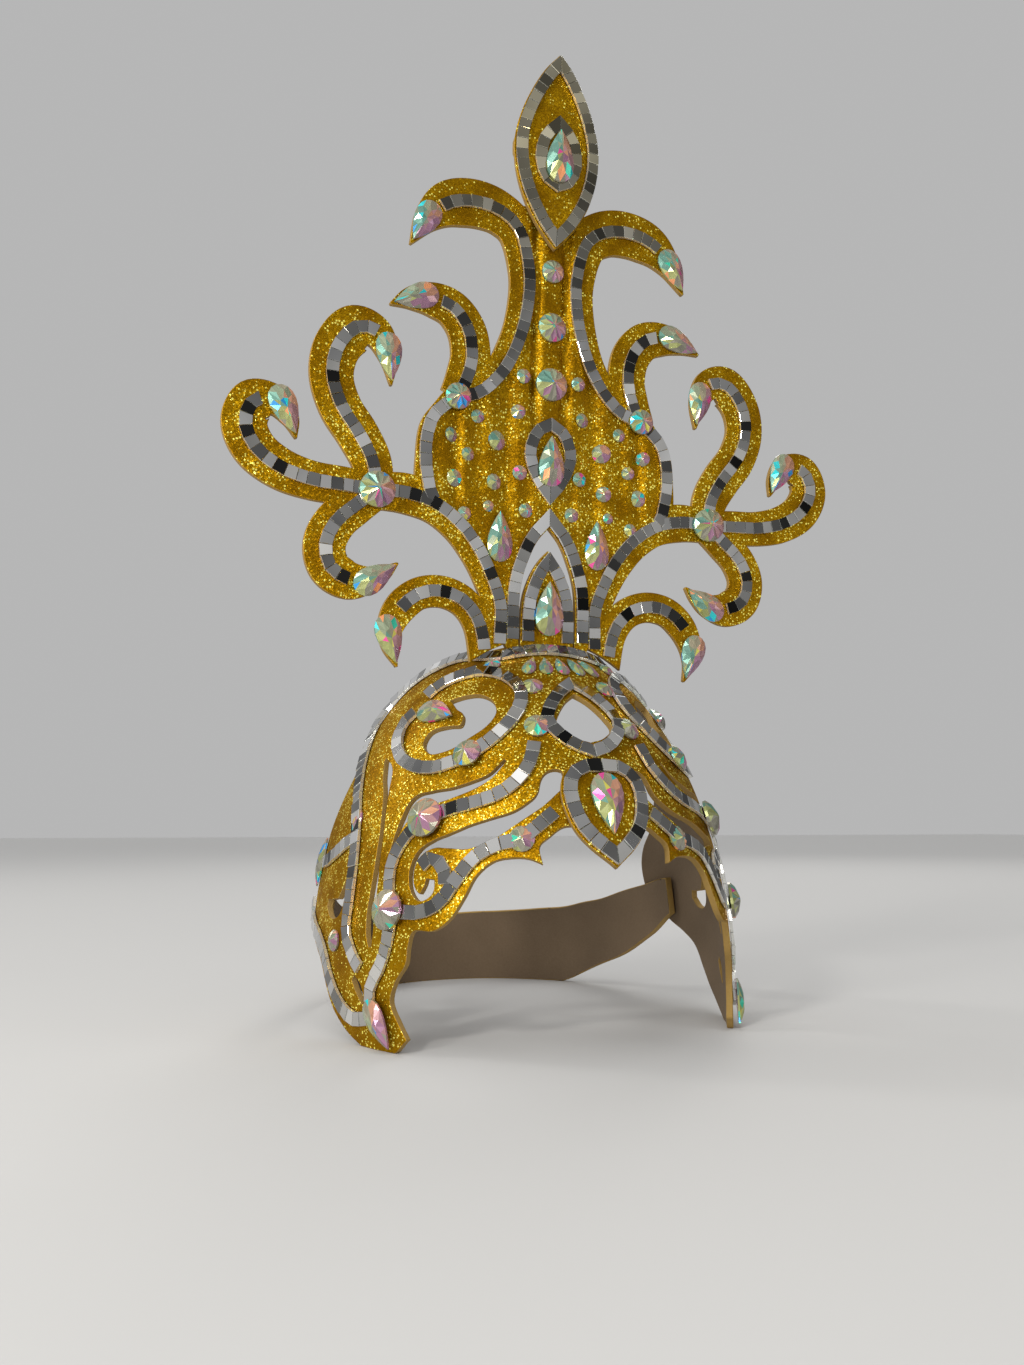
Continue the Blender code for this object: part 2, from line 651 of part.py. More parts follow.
def crest_panel():
    """The pierced panel: a vase with twelve arms and a branch to each side."""
    vase = crest_flat(VASE["across"], VASE["up"])
    foot = crest_flat(100 * FOOT_HALF_WIDTH / CREST_HALF_SPAN, np.array([-12, 0]))
    half = np.vstack([foot[:1] * [0, 1], foot, vase, vase[-1:] * [0, 1]])
    arms = arm_outlines()
    outlines = [both_halves(half), *arms, *map(flipped, arms)]
    cuts = [arch_outline(), below_foot()]
    sheet("crest_panel", GOLD, on_vase, -FOAM, 0.0, outlines, cuts, fold_creases())


def crest_mirrors():
    stone_end = TIP_MARGIN + TIP_PEAR.length + STONE_ROOM
    for side, way in SIDES.items():
        paths = {name: curve_on_crest(rows) * [way, 1] for name, rows in ARMS.items()}
        low_arm = strip(on_crest, paths.pop("low"), 0, stone_end)
        strips(f"low_arm_mirrors_{side}", on_crest, [low_arm], [below_foot()])
        outlines = [strip(on_crest, path, 0, stone_end) for path in paths.values()]
        outlines.append(strip(on_crest, smooth(branch_points()) * [way, 1]))
        outlines.append(strip(on_crest, curve_on_crest(VASE_SIDE) * [way, 1]))
        strips(f"arm_mirrors_{side}", on_crest, outlines, [below_foot()])
    arch = arch_outline()
    edges = [inset(on_crest, arch, -BORDER_EDGE - wide) for wide in (MIRROR_WIDTH, 0)]
    strips("arch_mirrors", on_crest, edges[:1], [edges[1], below_foot()])
    ring("vase_ring", on_crest, crest_flat(VASE_RING["across"], VASE_RING["up"]))


def base_drop():
    """The drop that fills the arch, with mirrors up both sides."""
    outline = both_halves(bottomed(smooth(arch_flat(BASE_DROP, DROP_HALF_WIDTH))))
    sheet("base_drop", GOLD, on_crest, -FOAM, 0.0, [outline], [below_foot()])
    border("drop_mirrors", on_crest, outline, [below_foot()])


def finial():
    """The leaf above the vase, on its front."""
    outline = both_halves(curve_on_crest(FINIAL))
    fill = filling(on_finial, [outline], LEAF_FILL_STEP, LEAF_MARGIN)
    sheet("finial_leaf", GOLD, on_finial, GAP, LEAF_FRONT, [outline], fill=fill)
    border("finial_mirrors", on_finial, outline, base=LEAF_FRONT)
    half = crest_flat(FINIAL_RING["across"], FINIAL_RING["up"])
    ring("finial_ring", on_finial, half, LEAF_FRONT)
    seat, tip = crest_flat(0, np.array([FINIAL_PEAR_UP, 100]))
    stone("finial_pear", FINIAL_PEAR, on_finial, seat, tip, LEAF_FRONT + ON_MIRROR)


def crest_stones():
    for name, cut, up, height in CREST_MIDDLE:
        stone(name, cut, on_crest, *crest_flat(0, np.array([up, 100])), height)
    for side, way in SIDES.items():
        for name, rows in ARMS.items():
            path = curve_on_crest(rows) * [way, 1]
            tip = trimmed(on_crest, path, 0, TIP_MARGIN)[-1]
            middle = trimmed(on_crest, path, 0, TIP_MARGIN + TIP_PEAR.length / 2)[-1]
            stone(f"{name}_pear_{side}", TIP_PEAR, on_crest, middle, tip, ON_FOAM)
        for name, cut, across, up, height in CREST_PAIRS:
            seat, tip = crest_flat(way * across, np.array([up, 100]))
            stone(f"{name}_{side}", cut, on_crest, seat, tip, height)


def cap_shell():
    """The cap's pierced sheet, from the crown to the two lobes on the cheeks."""
    rows = CAP_REAR, CAP_LOBE, CAP_FRONT, CAP_BROW
    outline = both_halves(chained(*map(curve_on_dome, rows)))
    cuts = [both_halves(curve_on_dome(BROW_EYE))]
    for rows in SLITS:
        flat = dome_flat(rows["around"], rows["down"])
        cuts.append(tapered(on_dome, flat, rows["wide"] * OPENING_WIDTH / 200))
        cuts.append(flipped(cuts[-1]))
    comma = dome_flat(COMMA["around"], COMMA["down"])
    cuts += [comma, flipped(comma)]
    fill = filling(on_dome, [outline, *cuts], FILL_STEP, FILL_MARGIN)
    sheet("cap_shell", GOLD, on_dome, -FOAM, 0.0, [outline], cuts, fill=fill)


def cap_mirrors():
    side_tops = [strip(on_dome, curve_on_dome(SIDE_TOP) * [way, 1]) for way in SIDES.values()]
    strips("seam_mirrors", on_dome, [strip(on_dome, through_middle(curve_on_dome(SEAM))), *side_tops])
    for side, way in SIDES.items():
        strips(f"scroll_mirrors_{side}", on_dome, [strip(on_dome, curve_on_dome(SCROLL) * [way, 1])])
        paths = [curve_on_dome(rows) * [way, 1] for rows in (BAND, RIM, CURL, SIDE_EDGE)]
        strips(f"band_mirrors_{side}", on_dome, [strip(on_dome, path) for path in paths])
    ring("brow_mirrors", on_dome, dome_flat(BROW_RING["around"], BROW_RING["down"]))


def cap_stones():
    for side, way in SIDES.items():
        for seat in CAP_PAIRS:
            ends = dome_flat([seat.around, seat.tip_around], [seat.down, seat.tip_down])
            stone(f"{seat.name}_{side}", seat.cut, on_dome, *(ends * [way, 1]), seat.height)


def forehead_drop():
    """The drop on the cap's front, which hangs below it between the brows."""
    outline = both_halves(curve_on_dome(FOREHEAD_DROP))
    fill = filling(on_dome, [outline], LEAF_FILL_STEP, LEAF_MARGIN)
    sheet("forehead_drop", GOLD, on_dome, GAP, LEAF_FRONT, [outline], fill=fill)
    border("forehead_mirrors", on_dome, outline, base=LEAF_FRONT)
    seat, tip = dome_flat([0, 0], [FOREHEAD_PEAR_DOWN, 90])
    stone("forehead_pear", FOREHEAD_PEAR, on_dome, seat, tip, LEAF_FRONT + ON_FOAM)


def back_band():
    """The plain band that closes the cap behind the head, inside its sides."""
    outline = both_halves(dome_flat(BACK_BAND["around"], BACK_BAND["down"]))
    fill = filling(on_dome, [outline], FILL_STEP, FILL_MARGIN)
    face = -FOAM - LAP_GAP
    sheet("back_band", PLAIN, on_dome, face - BAND_FOAM, face, [outline], fill=fill)


def finish(name, colour, roughness, metallic):
    """A material with one colour."""
    material = bpy.data.materials.new(name)
    material.use_nodes = True
    surface = material.node_tree.nodes["Principled BSDF"]
    surface.inputs["Base Color"].default_value = (*colour, 1)
    surface.inputs["Roughness"].default_value = roughness
    surface.inputs["Metallic"].default_value = metallic
    material.diffuse_color = (*colour, 1)
    return material


def centre_on_floor():
    """Moves every piece so that the box stands on the floor around the origin."""
    bpy.context.view_layer.update()
    corners = np.array([v.co for piece in crown.objects for v in piece.data.vertices])
    low, high = corners.min(0), corners.max(0)
    for piece in crown.objects:
        piece.location = (-(low[0] + high[0]) / 2, -(low[1] + high[1]) / 2, -low[2])


crown = bpy.data.collections.new("carnival_crown")
bpy.context.scene.collection.children.link(crown)
GOLD = finish("gold glitter foam", (0.80, 0.56, 0.12), 0.42, 0.85)
MIRROR = finish("mirror strip", (0.85, 0.86, 0.84), 0.05, 1.0)
CRYSTAL = finish("cut crystal", (0.72, 0.82, 0.88), 0.04, 0.0)
PLAIN = finish("plain foam", (0.42, 0.30, 0.18), 0.85, 0.0)

crest_panel()
crest_mirrors()
base_drop()
finial()
crest_stones()
cap_shell()
cap_mirrors()
cap_stones()
forehead_drop()
back_band()
centre_on_floor()
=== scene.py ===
"""Looks of the gold carnival crown: glitter foam, mirror tiles and cut stones.

Metres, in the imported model's frame. The front faces -Y. The sheets are laid
out flat and then bent, as in the part's source: the crest's layout is
(x, height), and the cap's is its dome seen from above and flattened. A height
above a layout is measured along the bent sheet's normal.
"""

import math

import bpy
import numpy as np
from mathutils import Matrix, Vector
from mathutils.geometry import delaunay_2d_cdt


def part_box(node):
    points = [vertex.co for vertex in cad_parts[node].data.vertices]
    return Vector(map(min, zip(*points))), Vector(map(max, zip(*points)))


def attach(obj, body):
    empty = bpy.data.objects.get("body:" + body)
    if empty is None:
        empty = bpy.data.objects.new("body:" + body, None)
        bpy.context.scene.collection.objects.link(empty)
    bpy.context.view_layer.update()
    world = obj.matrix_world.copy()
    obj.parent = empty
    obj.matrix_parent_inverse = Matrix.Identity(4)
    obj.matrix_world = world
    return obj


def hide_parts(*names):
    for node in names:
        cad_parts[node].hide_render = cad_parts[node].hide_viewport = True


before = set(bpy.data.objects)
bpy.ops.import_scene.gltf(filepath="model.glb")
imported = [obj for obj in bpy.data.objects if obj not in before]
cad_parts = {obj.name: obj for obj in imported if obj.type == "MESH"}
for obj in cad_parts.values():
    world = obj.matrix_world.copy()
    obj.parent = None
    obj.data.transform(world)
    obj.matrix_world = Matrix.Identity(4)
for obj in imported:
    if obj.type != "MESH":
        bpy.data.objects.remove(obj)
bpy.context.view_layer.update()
chance = np.random.default_rng(11)

# Dome and crest, as in the part's source
HEAD_HALF_WIDTH = 0.083
HEAD_HALF_DEPTH = 0.103
DOME_RISE = 0.136
DOME_LEVEL = 0.020
CREST_HALF_SPAN = 0.130
CREST_RISE = 0.254
CREST_SEAT = 0.0378
CREST_LEAN = 0.051
CREST_BOW = 0.0056
ARM_WIDTH = 0.017
FOOT_HALF_WIDTH = 0.024
SEATED_HALF_WIDTH = 0.0175
ARCH_HALF_WIDTH = 0.012
DROP_HALF_WIDTH = ARCH_HALF_WIDTH - 0.0006
FINIAL_BOW = 0.0025
FOAM = 0.0025
BAND_FOAM = 0.003
GAP = 0.0003
SEAT_GAP = 0.00045
LAP_GAP = 0.0008
MIRROR_WIDTH = 0.0048
MIRROR_THICK = 0.0012
BORDER_EDGE = 0.0006
OPENING_WIDTH = 0.010
TIP_MARGIN = 0.0015
STONE_ROOM = 0.001
LEAF_FRONT = GAP + FOAM
ON_MIRROR = GAP + MIRROR_THICK + GAP
LEG_AWAY = ARCH_HALF_WIDTH + BORDER_EDGE + 1.5 * MIRROR_WIDTH + 2 * GAP
LOW_ARM_AWAY = LEG_AWAY + MIRROR_WIDTH + LAP_GAP
BORDER_INSET = BORDER_EDGE + MIRROR_WIDTH / 2

# The band's rear face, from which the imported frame's place on the floor follows
BAND_FACE = HEAD_HALF_DEPTH - FOAM - LAP_GAP
FRAME_SHIFT = np.array([0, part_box("back_band")[1][1] - BAND_FACE, 0])

# Fineness of the visible pieces
CURVE_PARTS = 8
CREST_GRID = 0.0014
CAP_GRID = 0.0026
GRID_MARGIN = 0.0011
NUDGE = 1e-5
MERGE = 2e-5
ROUND_OVER = 0.00035
MITRE_LIMIT = 0.64
TINY = 1e-12
FOOT_POINTS = 61
FOOT_MARGIN = 0.0007
SCRIBE_ROUNDS = 9
# A border's point stays that is this share of the inset away from the outline
CLEAR_SHARE = 0.93

# Mirror tiles: length along a row, how much it varies as a share, joint between
# two, lift off the foam, ground edge
TILE = 0.0044
TILE_SPREAD = 0.07
JOINT = 0.00022
TILE_LIFT = 0.00015
CHAMFER = 0.00008
TILE_TILT = 0.042
SEAM_LEAN = 0.42
# Painted reflection: the tiles' paint turns a little olive between these two heights, as if they mirror
# the gold foam
GOLD_REFLECTED_FROM, GOLD_REFLECTED_TO, MOST_GOLD_REFLECTED = 0.27, 0.36, 0.30
# Painted reflection of the gold as well: up to this much olive at random on each tile's paint
GOLD_REFLECTED_SPREAD = 0.07
# Painted reflections: shades of the tiles' paint, from white to near black, that stand in for the bright
# and dark room they mirror, and how often each comes on the crest and on the cap
PAINTED_REFLECTION_SHADES = (1.0, 0.76, 0.56, 0.40, 0.22, 0.05)
CREST_SHARES = (0.13, 0.20, 0.25, 0.20, 0.12, 0.10)
CAP_SHARES = (0.10, 0.26, 0.34, 0.21, 0.06, 0.03)
FINIAL_SHARES = (0.04, 0.12, 0.44, 0.34, 0.04, 0.02)

# Stones: shape, length and width, and the sides of the larger ones
TIP_PEAR = ("pear", 0.0190, 0.0105)
LARGE_PEAR = ("pear", 0.0220, 0.0120)
FOREHEAD_PEAR = ("pear", 0.0225, 0.0120)
SIDE_PEAR = ("pear", 0.013, 0.0065)
FAN_PEAR = ("pear", 0.012, 0.0054)
JOINT_ROUND = ("round", 0.0140, 0.0140)
SMALL_ROUND = ("round", 0.0105, 0.0105)
STONE_SIDES = 10
# A vase dot's tip points this far ahead, and turns aside by about that much.
# A cap dot's points that many degrees up
DOT_AHEAD, DOT_TURN = 0.005, 0.002
DOT_TIP = 4
VASE_DOT_SIDES, CAP_DOT_SIDES = 6, 8
# What a row of tiles leaves free: under a stone, at another row, at the cap's edge
STONE_END = TIP_MARGIN + TIP_PEAR[1] + STONE_ROOM
UNDER_SMALL, UNDER_LARGE = 0.0035, 0.0045
ROW_ROOM, EDGE_ROOM = 0.003, 0.004


def table(columns, *rows):
    """The rows as named columns of numbers."""
    return dict(zip(columns.split(), np.array(rows, float).T))


# Arms of the crest, root to tip. across: % of CREST_HALF_SPAN, up: % of
# CREST_RISE above the crest's root, wide: % of ARM_WIDTH
UPPER_CURL = table(
    "across up wide",
    (30.8, 38.4, 82), (23.5, 39.8, 82), (16.5, 43.5, 85), (11.5, 48.6, 89),
    (8.5, 54.9, 94), (8.1, 60.8, 98), (11.2, 67.1, 106), (17.7, 69.9, 113),
    (26.2, 70.6, 118), (34.6, 69.5, 108), (41.2, 66.5, 66), (46.4, 61.8, 5),
)
SECOND_CURL = table(
    "across up wide",
    (30.8, 38.4, 82), (27.7, 41.9, 98), (26.4, 45.5, 98), (27.9, 49.6, 98),
    (32.7, 52.6, 94), (39.6, 53.5, 82), (46.2, 53.0, 52), (52.2, 51.6, 5),
)
SWAN_ARM = table(
    "across up wide",
    (55.0, 22.2, 82), (56.5, 26.6, 94), (60.8, 30.5, 100), (66.2, 34.3, 100),
    (69.1, 38.8, 100), (67.7, 43.3, 104), (62.3, 46.7, 106), (55.8, 46.5, 78),
    (52.2, 43.1, 47), (51.2, 38.8, 5),
)
OUTER_ARM = table(
    "across up wide",
    (55.0, 22.2, 82), (64.6, 22.4, 86), (73.8, 22.6, 88), (82.7, 23.7, 94),
    (90.0, 26.1, 98), (93.3, 29.7, 98), (90.8, 33.1, 94), (84.6, 33.5, 71),
    (80.6, 31.3, 42), (78.7, 28.5, 5),
)
LOWER_ARM = table(
    "across up wide",
    (55.0, 22.2, 82), (60.8, 19.7, 88), (66.5, 16.9, 92), (69.5, 13.4, 94),
    (67.9, 10.0, 94), (62.3, 8.4, 88), (56.2, 8.7, 61), (51.5, 10.0, 35),
    (47.7, 11.6, 5),
)
# This one's across is counted from LOW_ARM_AWAY
LOW_ARM = table(
    "across up wide",
    (0.0, -3.0, 71), (1.9, 2.8, 74), (6.5, 6.3, 74), (13.5, 7.8, 74),
    (20.8, 7.3, 74), (26.2, 5.1, 74), (29.2, 2.2, 62), (29.5, -1.0, 38),
    (27.2, -4.1, 5),
)
LOW_ARM["across"] += 100 * LOW_ARM_AWAY / CREST_HALF_SPAN
ARMS = {
    "upper": UPPER_CURL,
    "second": SECOND_CURL,
    "swan": SWAN_ARM,
    "outer": OUTER_ARM,
    "lower": LOWER_ARM,
    "low": LOW_ARM,
}
BRANCH = table(
    "across up wide",
    (55.0, 22.2, 82), (46.2, 22.4, 94), (36.9, 21.3, 94), (29.2, 18.7, 94),
    (23.5, 15.4, 94), (19.2, 11.4, 88),
)
LEG = table("up wide", (6.5, 82), (1.5, 76), (-3.0, 76))

# Half outlines and half paths on the crest, as shares of the same two sizes
VASE = table(
    "across up",
    (18.5, 8.5), (25.4, 15.2), (36.9, 19.1), (42.7, 23.4), (43.1, 28.9),
    (41.9, 33.7), (37.7, 37.2), (32.3, 40.4), (23.8, 42.3), (16.9, 45.9),
    (13.1, 50.6), (12.3, 56.1), (13.1, 60.8), (15.4, 64.0), (10.8, 71.9),
)
VASE_SIDE = table(
    "across up",
    (29.8, 38.9), (37.3, 35.6), (39.8, 32.5), (40.4, 28.9), (39.8, 25.8),
    (38.3, 22.6), (35.4, 20.7),
)
VASE_RING = table("across up", (0, 24.4), (4.2, 27.2), (6.8, 31.0), (4.6, 34.6), (0, 36.2))
FINIAL = table(
    "across up",
    (0, 64.9), (3.2, 66.6), (7.1, 69.1), (11.2, 73), (13.8, 77.6),
    (14.3, 82.4), (12.4, 86.8), (9, 91), (4.8, 94.7), (0, 97.6),
)
FINIAL_RING = table("across up", (0, 75.2), (3.9, 76.4), (6, 79.4), (4.6, 83), (0, 85.6))
# Soft upright folds of the vase. spread and deep in mm, fade: % of CREST_RISE
FOLDS = table(
    "across spread low high fade deep",
    (5.0, 3.6, 40, 67, 8, 1.7), (7.5, 4.2, 22, 25, 4, 0.7), (14.5, 6.5, 24, 43, 9, 1.5),
    (24, 6.0, 27, 38, 6, 0.9), (30.5, 4.5, 25, 35, 6, 1.5),
)
ARCH = table(
    "wide up",
    (100, -12), (100, 2.5), (100, 6.9), (93, 10.4), (71, 13.8), (40, 17.0), (0, 19.3),
)
BASE_DROP = table(
    "wide up",
    (100, -12), (100, 1), (100, 5.0), (91, 8.5), (63, 11.9), (31, 14.2), (0, 15.7),
)

# The cap's half outline, in degrees around from the front and down from the top
CAP_REAR = table(
    "around down",
    (0, 17), (16, 17.8), (31, 20.1), (45, 22.2), (58, 23.2), (72, 25.2),
    (86, 28.2), (96, 32), (102, 38), (99.5, 46), (93, 52), (91, 56), (95, 61),
    (100, 66), (105, 70), (107, 74), (106, 78.5), (102, 82),
)
CAP_LOBE = table(
    "around down",
    (102, 82), (96, 84.3), (90, 86), (84.5, 88), (80, 91.5), (75.5, 94.4),
    (70, 96.6), (65, 98), (60, 99), (54, 99), (49.5, 96.4),
)
CAP_FRONT = table(
    "around down",
    (49.5, 96.4), (51.8, 94.3), (54.3, 91.5), (53, 88.6), (50.3, 86), (49.8, 83.4),
    (48.5, 81.2), (43.5, 81), (39.5, 79.3), (36.3, 76.3), (33.5, 73), (29.5, 70.9),
    (25, 70.3), (21, 70.4), (17.6, 71.2),
)
CAP_BROW = table("around down", (17.6, 71.2), (18.2, 68.6), (15.4, 67), (12, 65.6), (8, 65.4), (0, 66))

# Openings of the cap that are cut along a path. wide: % of OPENING_WIDTH
SLOT = table(
    "around down wide",
    (71, 53, 10), (67, 55.9, 55), (64.8, 59.5, 32), (63.5, 63, 24), (62.4, 67, 24),
    (62, 71, 26), (61.8, 75, 36), (62, 79, 44), (61.8, 82, 40), (61.3, 84, 16),
)
CRESCENT = table(
    "around down wide",
    (27, 54.2, 10), (31, 57, 20), (36, 58.7, 32), (42, 60, 40), (48, 60.9, 56),
    (52.5, 62, 68), (55.2, 64.4, 36), (56.8, 67, 20), (58, 70, 10),
)
LENS = table(
    "around down wide",
    (10.5, 57.5, 60), (13.5, 58, 84), (16.3, 60.4, 52), (19, 62, 42), (24, 64, 44),
    (30, 65.8, 72), (36, 67.2, 80), (41, 67.8, 50), (45, 68.3, 28), (48.8, 69.8, 22),
    (50.4, 72.3, 20), (49.8, 74.9, 20), (47.6, 76.3, 24), (45.4, 75.2, 44),
    (45, 73.6, 34),
)
SIDE_HOLE = table(
    "around down wide",
    (73.4, 71.5, 10), (74, 75, 24), (76.2, 78.6, 66), (80, 79.2, 70), (83.5, 78.5, 30),
)
LOBE_EYE = table("around down wide", (67, 88.9, 24), (65, 90.2, 40), (63, 92.2, 20))
SLITS = (SLOT, CRESCENT, LENS, SIDE_HOLE, LOBE_EYE)
COMMA = table(
    "around down",
    (50.5, 40.2), (44.5, 39.2), (38, 39.2), (32.5, 41.2), (31, 44.3), (34, 47.3),
    (39, 49.6), (44.5, 51.8), (51, 52.6), (55.3, 50.6), (54.2, 47.8), (48, 46.8),
    (43.2, 46.6), (43, 44.2), (46.5, 42.6),
)
BROW_EYE = table("around down", (0, 39.3), (5, 41.5), (9.5, 45.3), (10.2, 47.6), (5, 49.8), (0, 50.7))

# Middle lines of the cap's mirror rows
SEAM = table(
    "around down",
    (0, 24.4), (12, 24.7), (22, 25.6), (31, 26.7), (39, 26.6), (47, 25.9), (55, 25.6),
    (64, 26.1), (74, 28), (84, 30.6), (92.5, 34.2), (98, 39), (95.5, 44.5), (89, 49.5),
    (83.5, 54.5), (79, 59), (75, 63.4), (72, 68), (70.4, 73), (70, 78),
    (70, 82), (66.8, 85.4), (63.8, 87.2),
)
SIDE_TOP = table("around down", (72.3, 67.6), (77, 68.6), (82, 70.2), (88, 71.6), (92.5, 72))
SCROLL = table(
    "around down",
    (64.5, 43), (67.8, 46.2), (66, 50.4), (61, 53.6), (54.5, 55.2), (48, 55.5),
    (42, 54.5), (36, 52.6), (30.5, 50), (25.5, 46.6), (22, 42.8), (22, 38.6),
    (26.5, 35.2), (34.5, 33), (43, 32.6), (52, 34), (59, 36.2), (62.6, 39),
)
BAND = table(
    "around down",
    (18.2, 51), (20, 55), (23.5, 58), (28.5, 60.4), (35, 61.8), (42, 63),
    (48.5, 64.8), (53.5, 67.8), (56.3, 72), (55.6, 76.6), (54.6, 81), (56.6, 86),
    (59.6, 89.4), (59.8, 92.2), (57.4, 95),
)
RIM = table(
    "around down",
    (14, 63.3), (17, 64.8), (22.5, 67.4), (28.5, 68.4), (34, 70.4), (38, 73.6),
    (42, 77), (47.5, 78.5), (55, 78.6),
)
CURL = table("around down", (40.4, 75.6), (41.2, 72.2), (44.6, 70.4), (47.4, 71.8))
SIDE_EDGE = table(
    "around down",
    (99.5, 78.6), (97.5, 81.2), (91.5, 82.8), (85, 84.4), (80.5, 86.6), (76.5, 90),
    (71.5, 93), (66, 94.6), (61, 94.2), (58, 93.6),
)
BROW_RING = table(
    "around down",
    (0, 36.8), (6.5, 39.4), (11.8, 43.4), (13.2, 46.8), (9, 50), (4.5, 51.8), (0, 52.8),
)
FOREHEAD_DROP = table(
    "around down",
    (0, 54.8), (6, 55.1), (10.6, 57), (12.2, 60), (11.6, 63.2), (9.4, 66.6),
    (5.4, 69.4), (0, 72.1),
)
BACK_BAND = table(
    "around down",
    (180, 84.6), (166, 84.3), (153, 83.9), (140, 83.2), (130, 81.8), (120, 80.2),
    (106, 77.5), (93, 75.6), (93, 82.5), (104, 87.5), (117, 92.5), (133, 97.2),
    (144, 99), (156, 99), (168, 99), (180, 99),
)
# Rows of its upper edge, which ends in a corner
BAND_CORNER = 8

# Small round stones in mm: half crest (x, height above the crest's root, size)
VASE_DOTS = table(
    "x up size",
    (12, 110.5, 6), (14, 95.5, 6), (23, 82.5, 8), (35, 75.5, 5.5), (42, 82.5, 6),
    (31, 91.5, 5.5), (40, 65.5, 7), (24, 65.5, 6.5), (13, 70.5, 6), (26, 55.5, 4.5),
    (36, 51.5, 5.5), (10, 55.5, 6),
)
# The cap's, by angle
CAP_DOTS = table(
    "around down size", (17, 47.5, 9.5), (22.5, 67.5, 9), (36, 29.8, 7), (17, 37.5, 8), (76, 84, 8)
)
# Pears fanned under the crest's foot: angles around, the angle down, that of the tips
FAN = (-16.6, -8.3, 0, 8.3, 16.6)
FAN_DOWN, FAN_TIPS = 30.5, 21.9
SIDES = {"right": -1, "left": 1}


def unit(arrows):
    """The arrows divided by their lengths."""
    return arrows / np.linalg.norm(arrows, axis=-1, keepdims=True)


def lifted(points, normals, height):
    """The points plus the height times the unit normals."""
    return points + np.reshape(height, (-1, 1)) * unit(normals)


def dome_top(x, y):
    """Height of the cap's outer face: the level plus the rise of an oval dome."""
    return DOME_LEVEL + DOME_RISE * np.sqrt(
        1 - (x / HEAD_HALF_WIDTH) ** 2 - (y / HEAD_HALF_DEPTH) ** 2
    )


CREST_ROOT = float(dome_top(0.0, CREST_SEAT))


def eased(share):
    """3 s squared - 2 s cubed: level at both ends."""
    share = np.clip(share, 0, 1)
    return share * share * (3 - 2 * share)


def on_crest(flat, height=0.0):
    """Depth is the seat, plus the lean times the height, plus the bow times x squared."""
    x, z = flat.T
    share = x / CREST_HALF_SPAN
    y = -(CREST_SEAT + CREST_LEAN * (z - CREST_ROOT) + CREST_BOW * share**2)
    slope = -2 * CREST_BOW * share / CREST_HALF_SPAN
    normals = np.stack([slope, np.full_like(x, -1), np.full_like(x, -CREST_LEAN)], 1)
    return lifted(np.stack([x, y, z], 1), normals, height)


def on_vase(flat, height=0.0):
    """The crest's face less each fold: its depth, times an eased fall to both
    sides of its line, times an eased fade at both ends."""
    up = (flat[:, 1:] - CREST_ROOT) / CREST_RISE * 100
    away = np.abs(np.abs(flat[:, :1]) - FOLDS["across"] * CREST_HALF_SPAN / 100)
    fall = eased(1 - away / (FOLDS["spread"] / 1000))
    ends = (up - FOLDS["low"], FOLDS["high"] - up)
    fade = math.prod(eased(past / FOLDS["fade"] + 1) for past in ends)
    return on_crest(flat, height - (fall * fade * FOLDS["deep"] / 1000).sum(1))


def on_finial(flat, height=0.0):
    """The crest's face, bowed forward by 1 less the square of the share across."""
    across = flat[:, 0] / CREST_HALF_SPAN * 100
    up = (flat[:, 1] - CREST_ROOT) / CREST_RISE * 100
    widest = FINIAL["across"].argmax()
    rise = np.clip(np.interp(up, FINIAL["up"][[0, widest]], [0, 1]), 0, 1)
    round_off = np.clip(1 - (across / FINIAL["across"][widest]) ** 2, 0, 1)
    return on_crest(flat, height + FINIAL_BOW * rise * round_off)


def on_dome(flat, height=0.0):
    """An oval dome: its radius on the layout is the angle down times the rise.

    Below the level it turns into an upright wall.
    """
    down = np.hypot(*flat.T) / DOME_RISE
    down = np.minimum(down, math.pi / 2 + DOME_LEVEL / DOME_RISE)
    around = np.arctan2(flat[:, 0], -flat[:, 1])
    bent = np.minimum(down, math.pi / 2)
    x = HEAD_HALF_WIDTH * np.sin(bent) * np.sin(around)
    y = -HEAD_HALF_DEPTH * np.sin(bent) * np.cos(around)
    rise = DOME_RISE * np.cos(bent)
    z = DOME_LEVEL + rise - DOME_RISE * (down - bent)
    normals = np.stack(
        [x / HEAD_HALF_WIDTH**2, y / HEAD_HALF_DEPTH**2, rise / DOME_RISE**2], 1
    )
    return lifted(np.stack([x, y, z], 1), normals, height)


def normals_on(place, flat):
    """Unit normals: the cross product of the surface's two slopes."""
    east, north = (place(flat + step) - place(flat - step) for step in NUDGE * np.eye(2))
    return unit(np.cross(east, north))


def crest_flat(across, up):
    """Places on the crest's layout from shares of its half span and rise."""
    across, up = np.broadcast_arrays(across, up)
    return np.stack([CREST_HALF_SPAN / 100 * across, CREST_ROOT + CREST_RISE / 100 * up], -1)


def dome_flat(around, down):
    """Places on the cap's layout from angles in degrees."""
    reach = DOME_RISE * np.radians(down)
    return np.stack([reach * np.sin(np.radians(around)), -reach * np.cos(np.radians(around))], -1)


def arch_flat(rows, half_width):
    """Places on the crest's layout from shares of a half width and of the rise."""
    return crest_flat(rows["wide"] * half_width / CREST_HALF_SPAN, rows["up"])


def curve(points):
    """Catmull-Rom curve: between two knots, the cubic whose slope at each knot
    is half the chord between the knots on both sides of it."""
    padded = np.vstack([2 * points[0] - points[1], points, 2 * points[-1] - points[-2]])
    s = np.arange(CURVE_PARTS)[:, None] / CURVE_PARTS
    weights = 0.5 * np.hstack([
        -s + 2 * s**2 - s**3, 2 - 5 * s**2 + 3 * s**3, s + 4 * s**2 - 3 * s**3, s**3 - s**2
    ])
    knots = np.stack([padded[i : len(padded) - 3 + i] for i in range(4)], 1)
    between = np.einsum("pk,nkd->npd", weights, knots).reshape(-1, points.shape[1])
    return np.vstack([between, points[-1]])


def on_crest_curve(rows):
    """The curve through a table's places on the crest's layout."""
    return curve(crest_flat(rows["across"], rows["up"]))


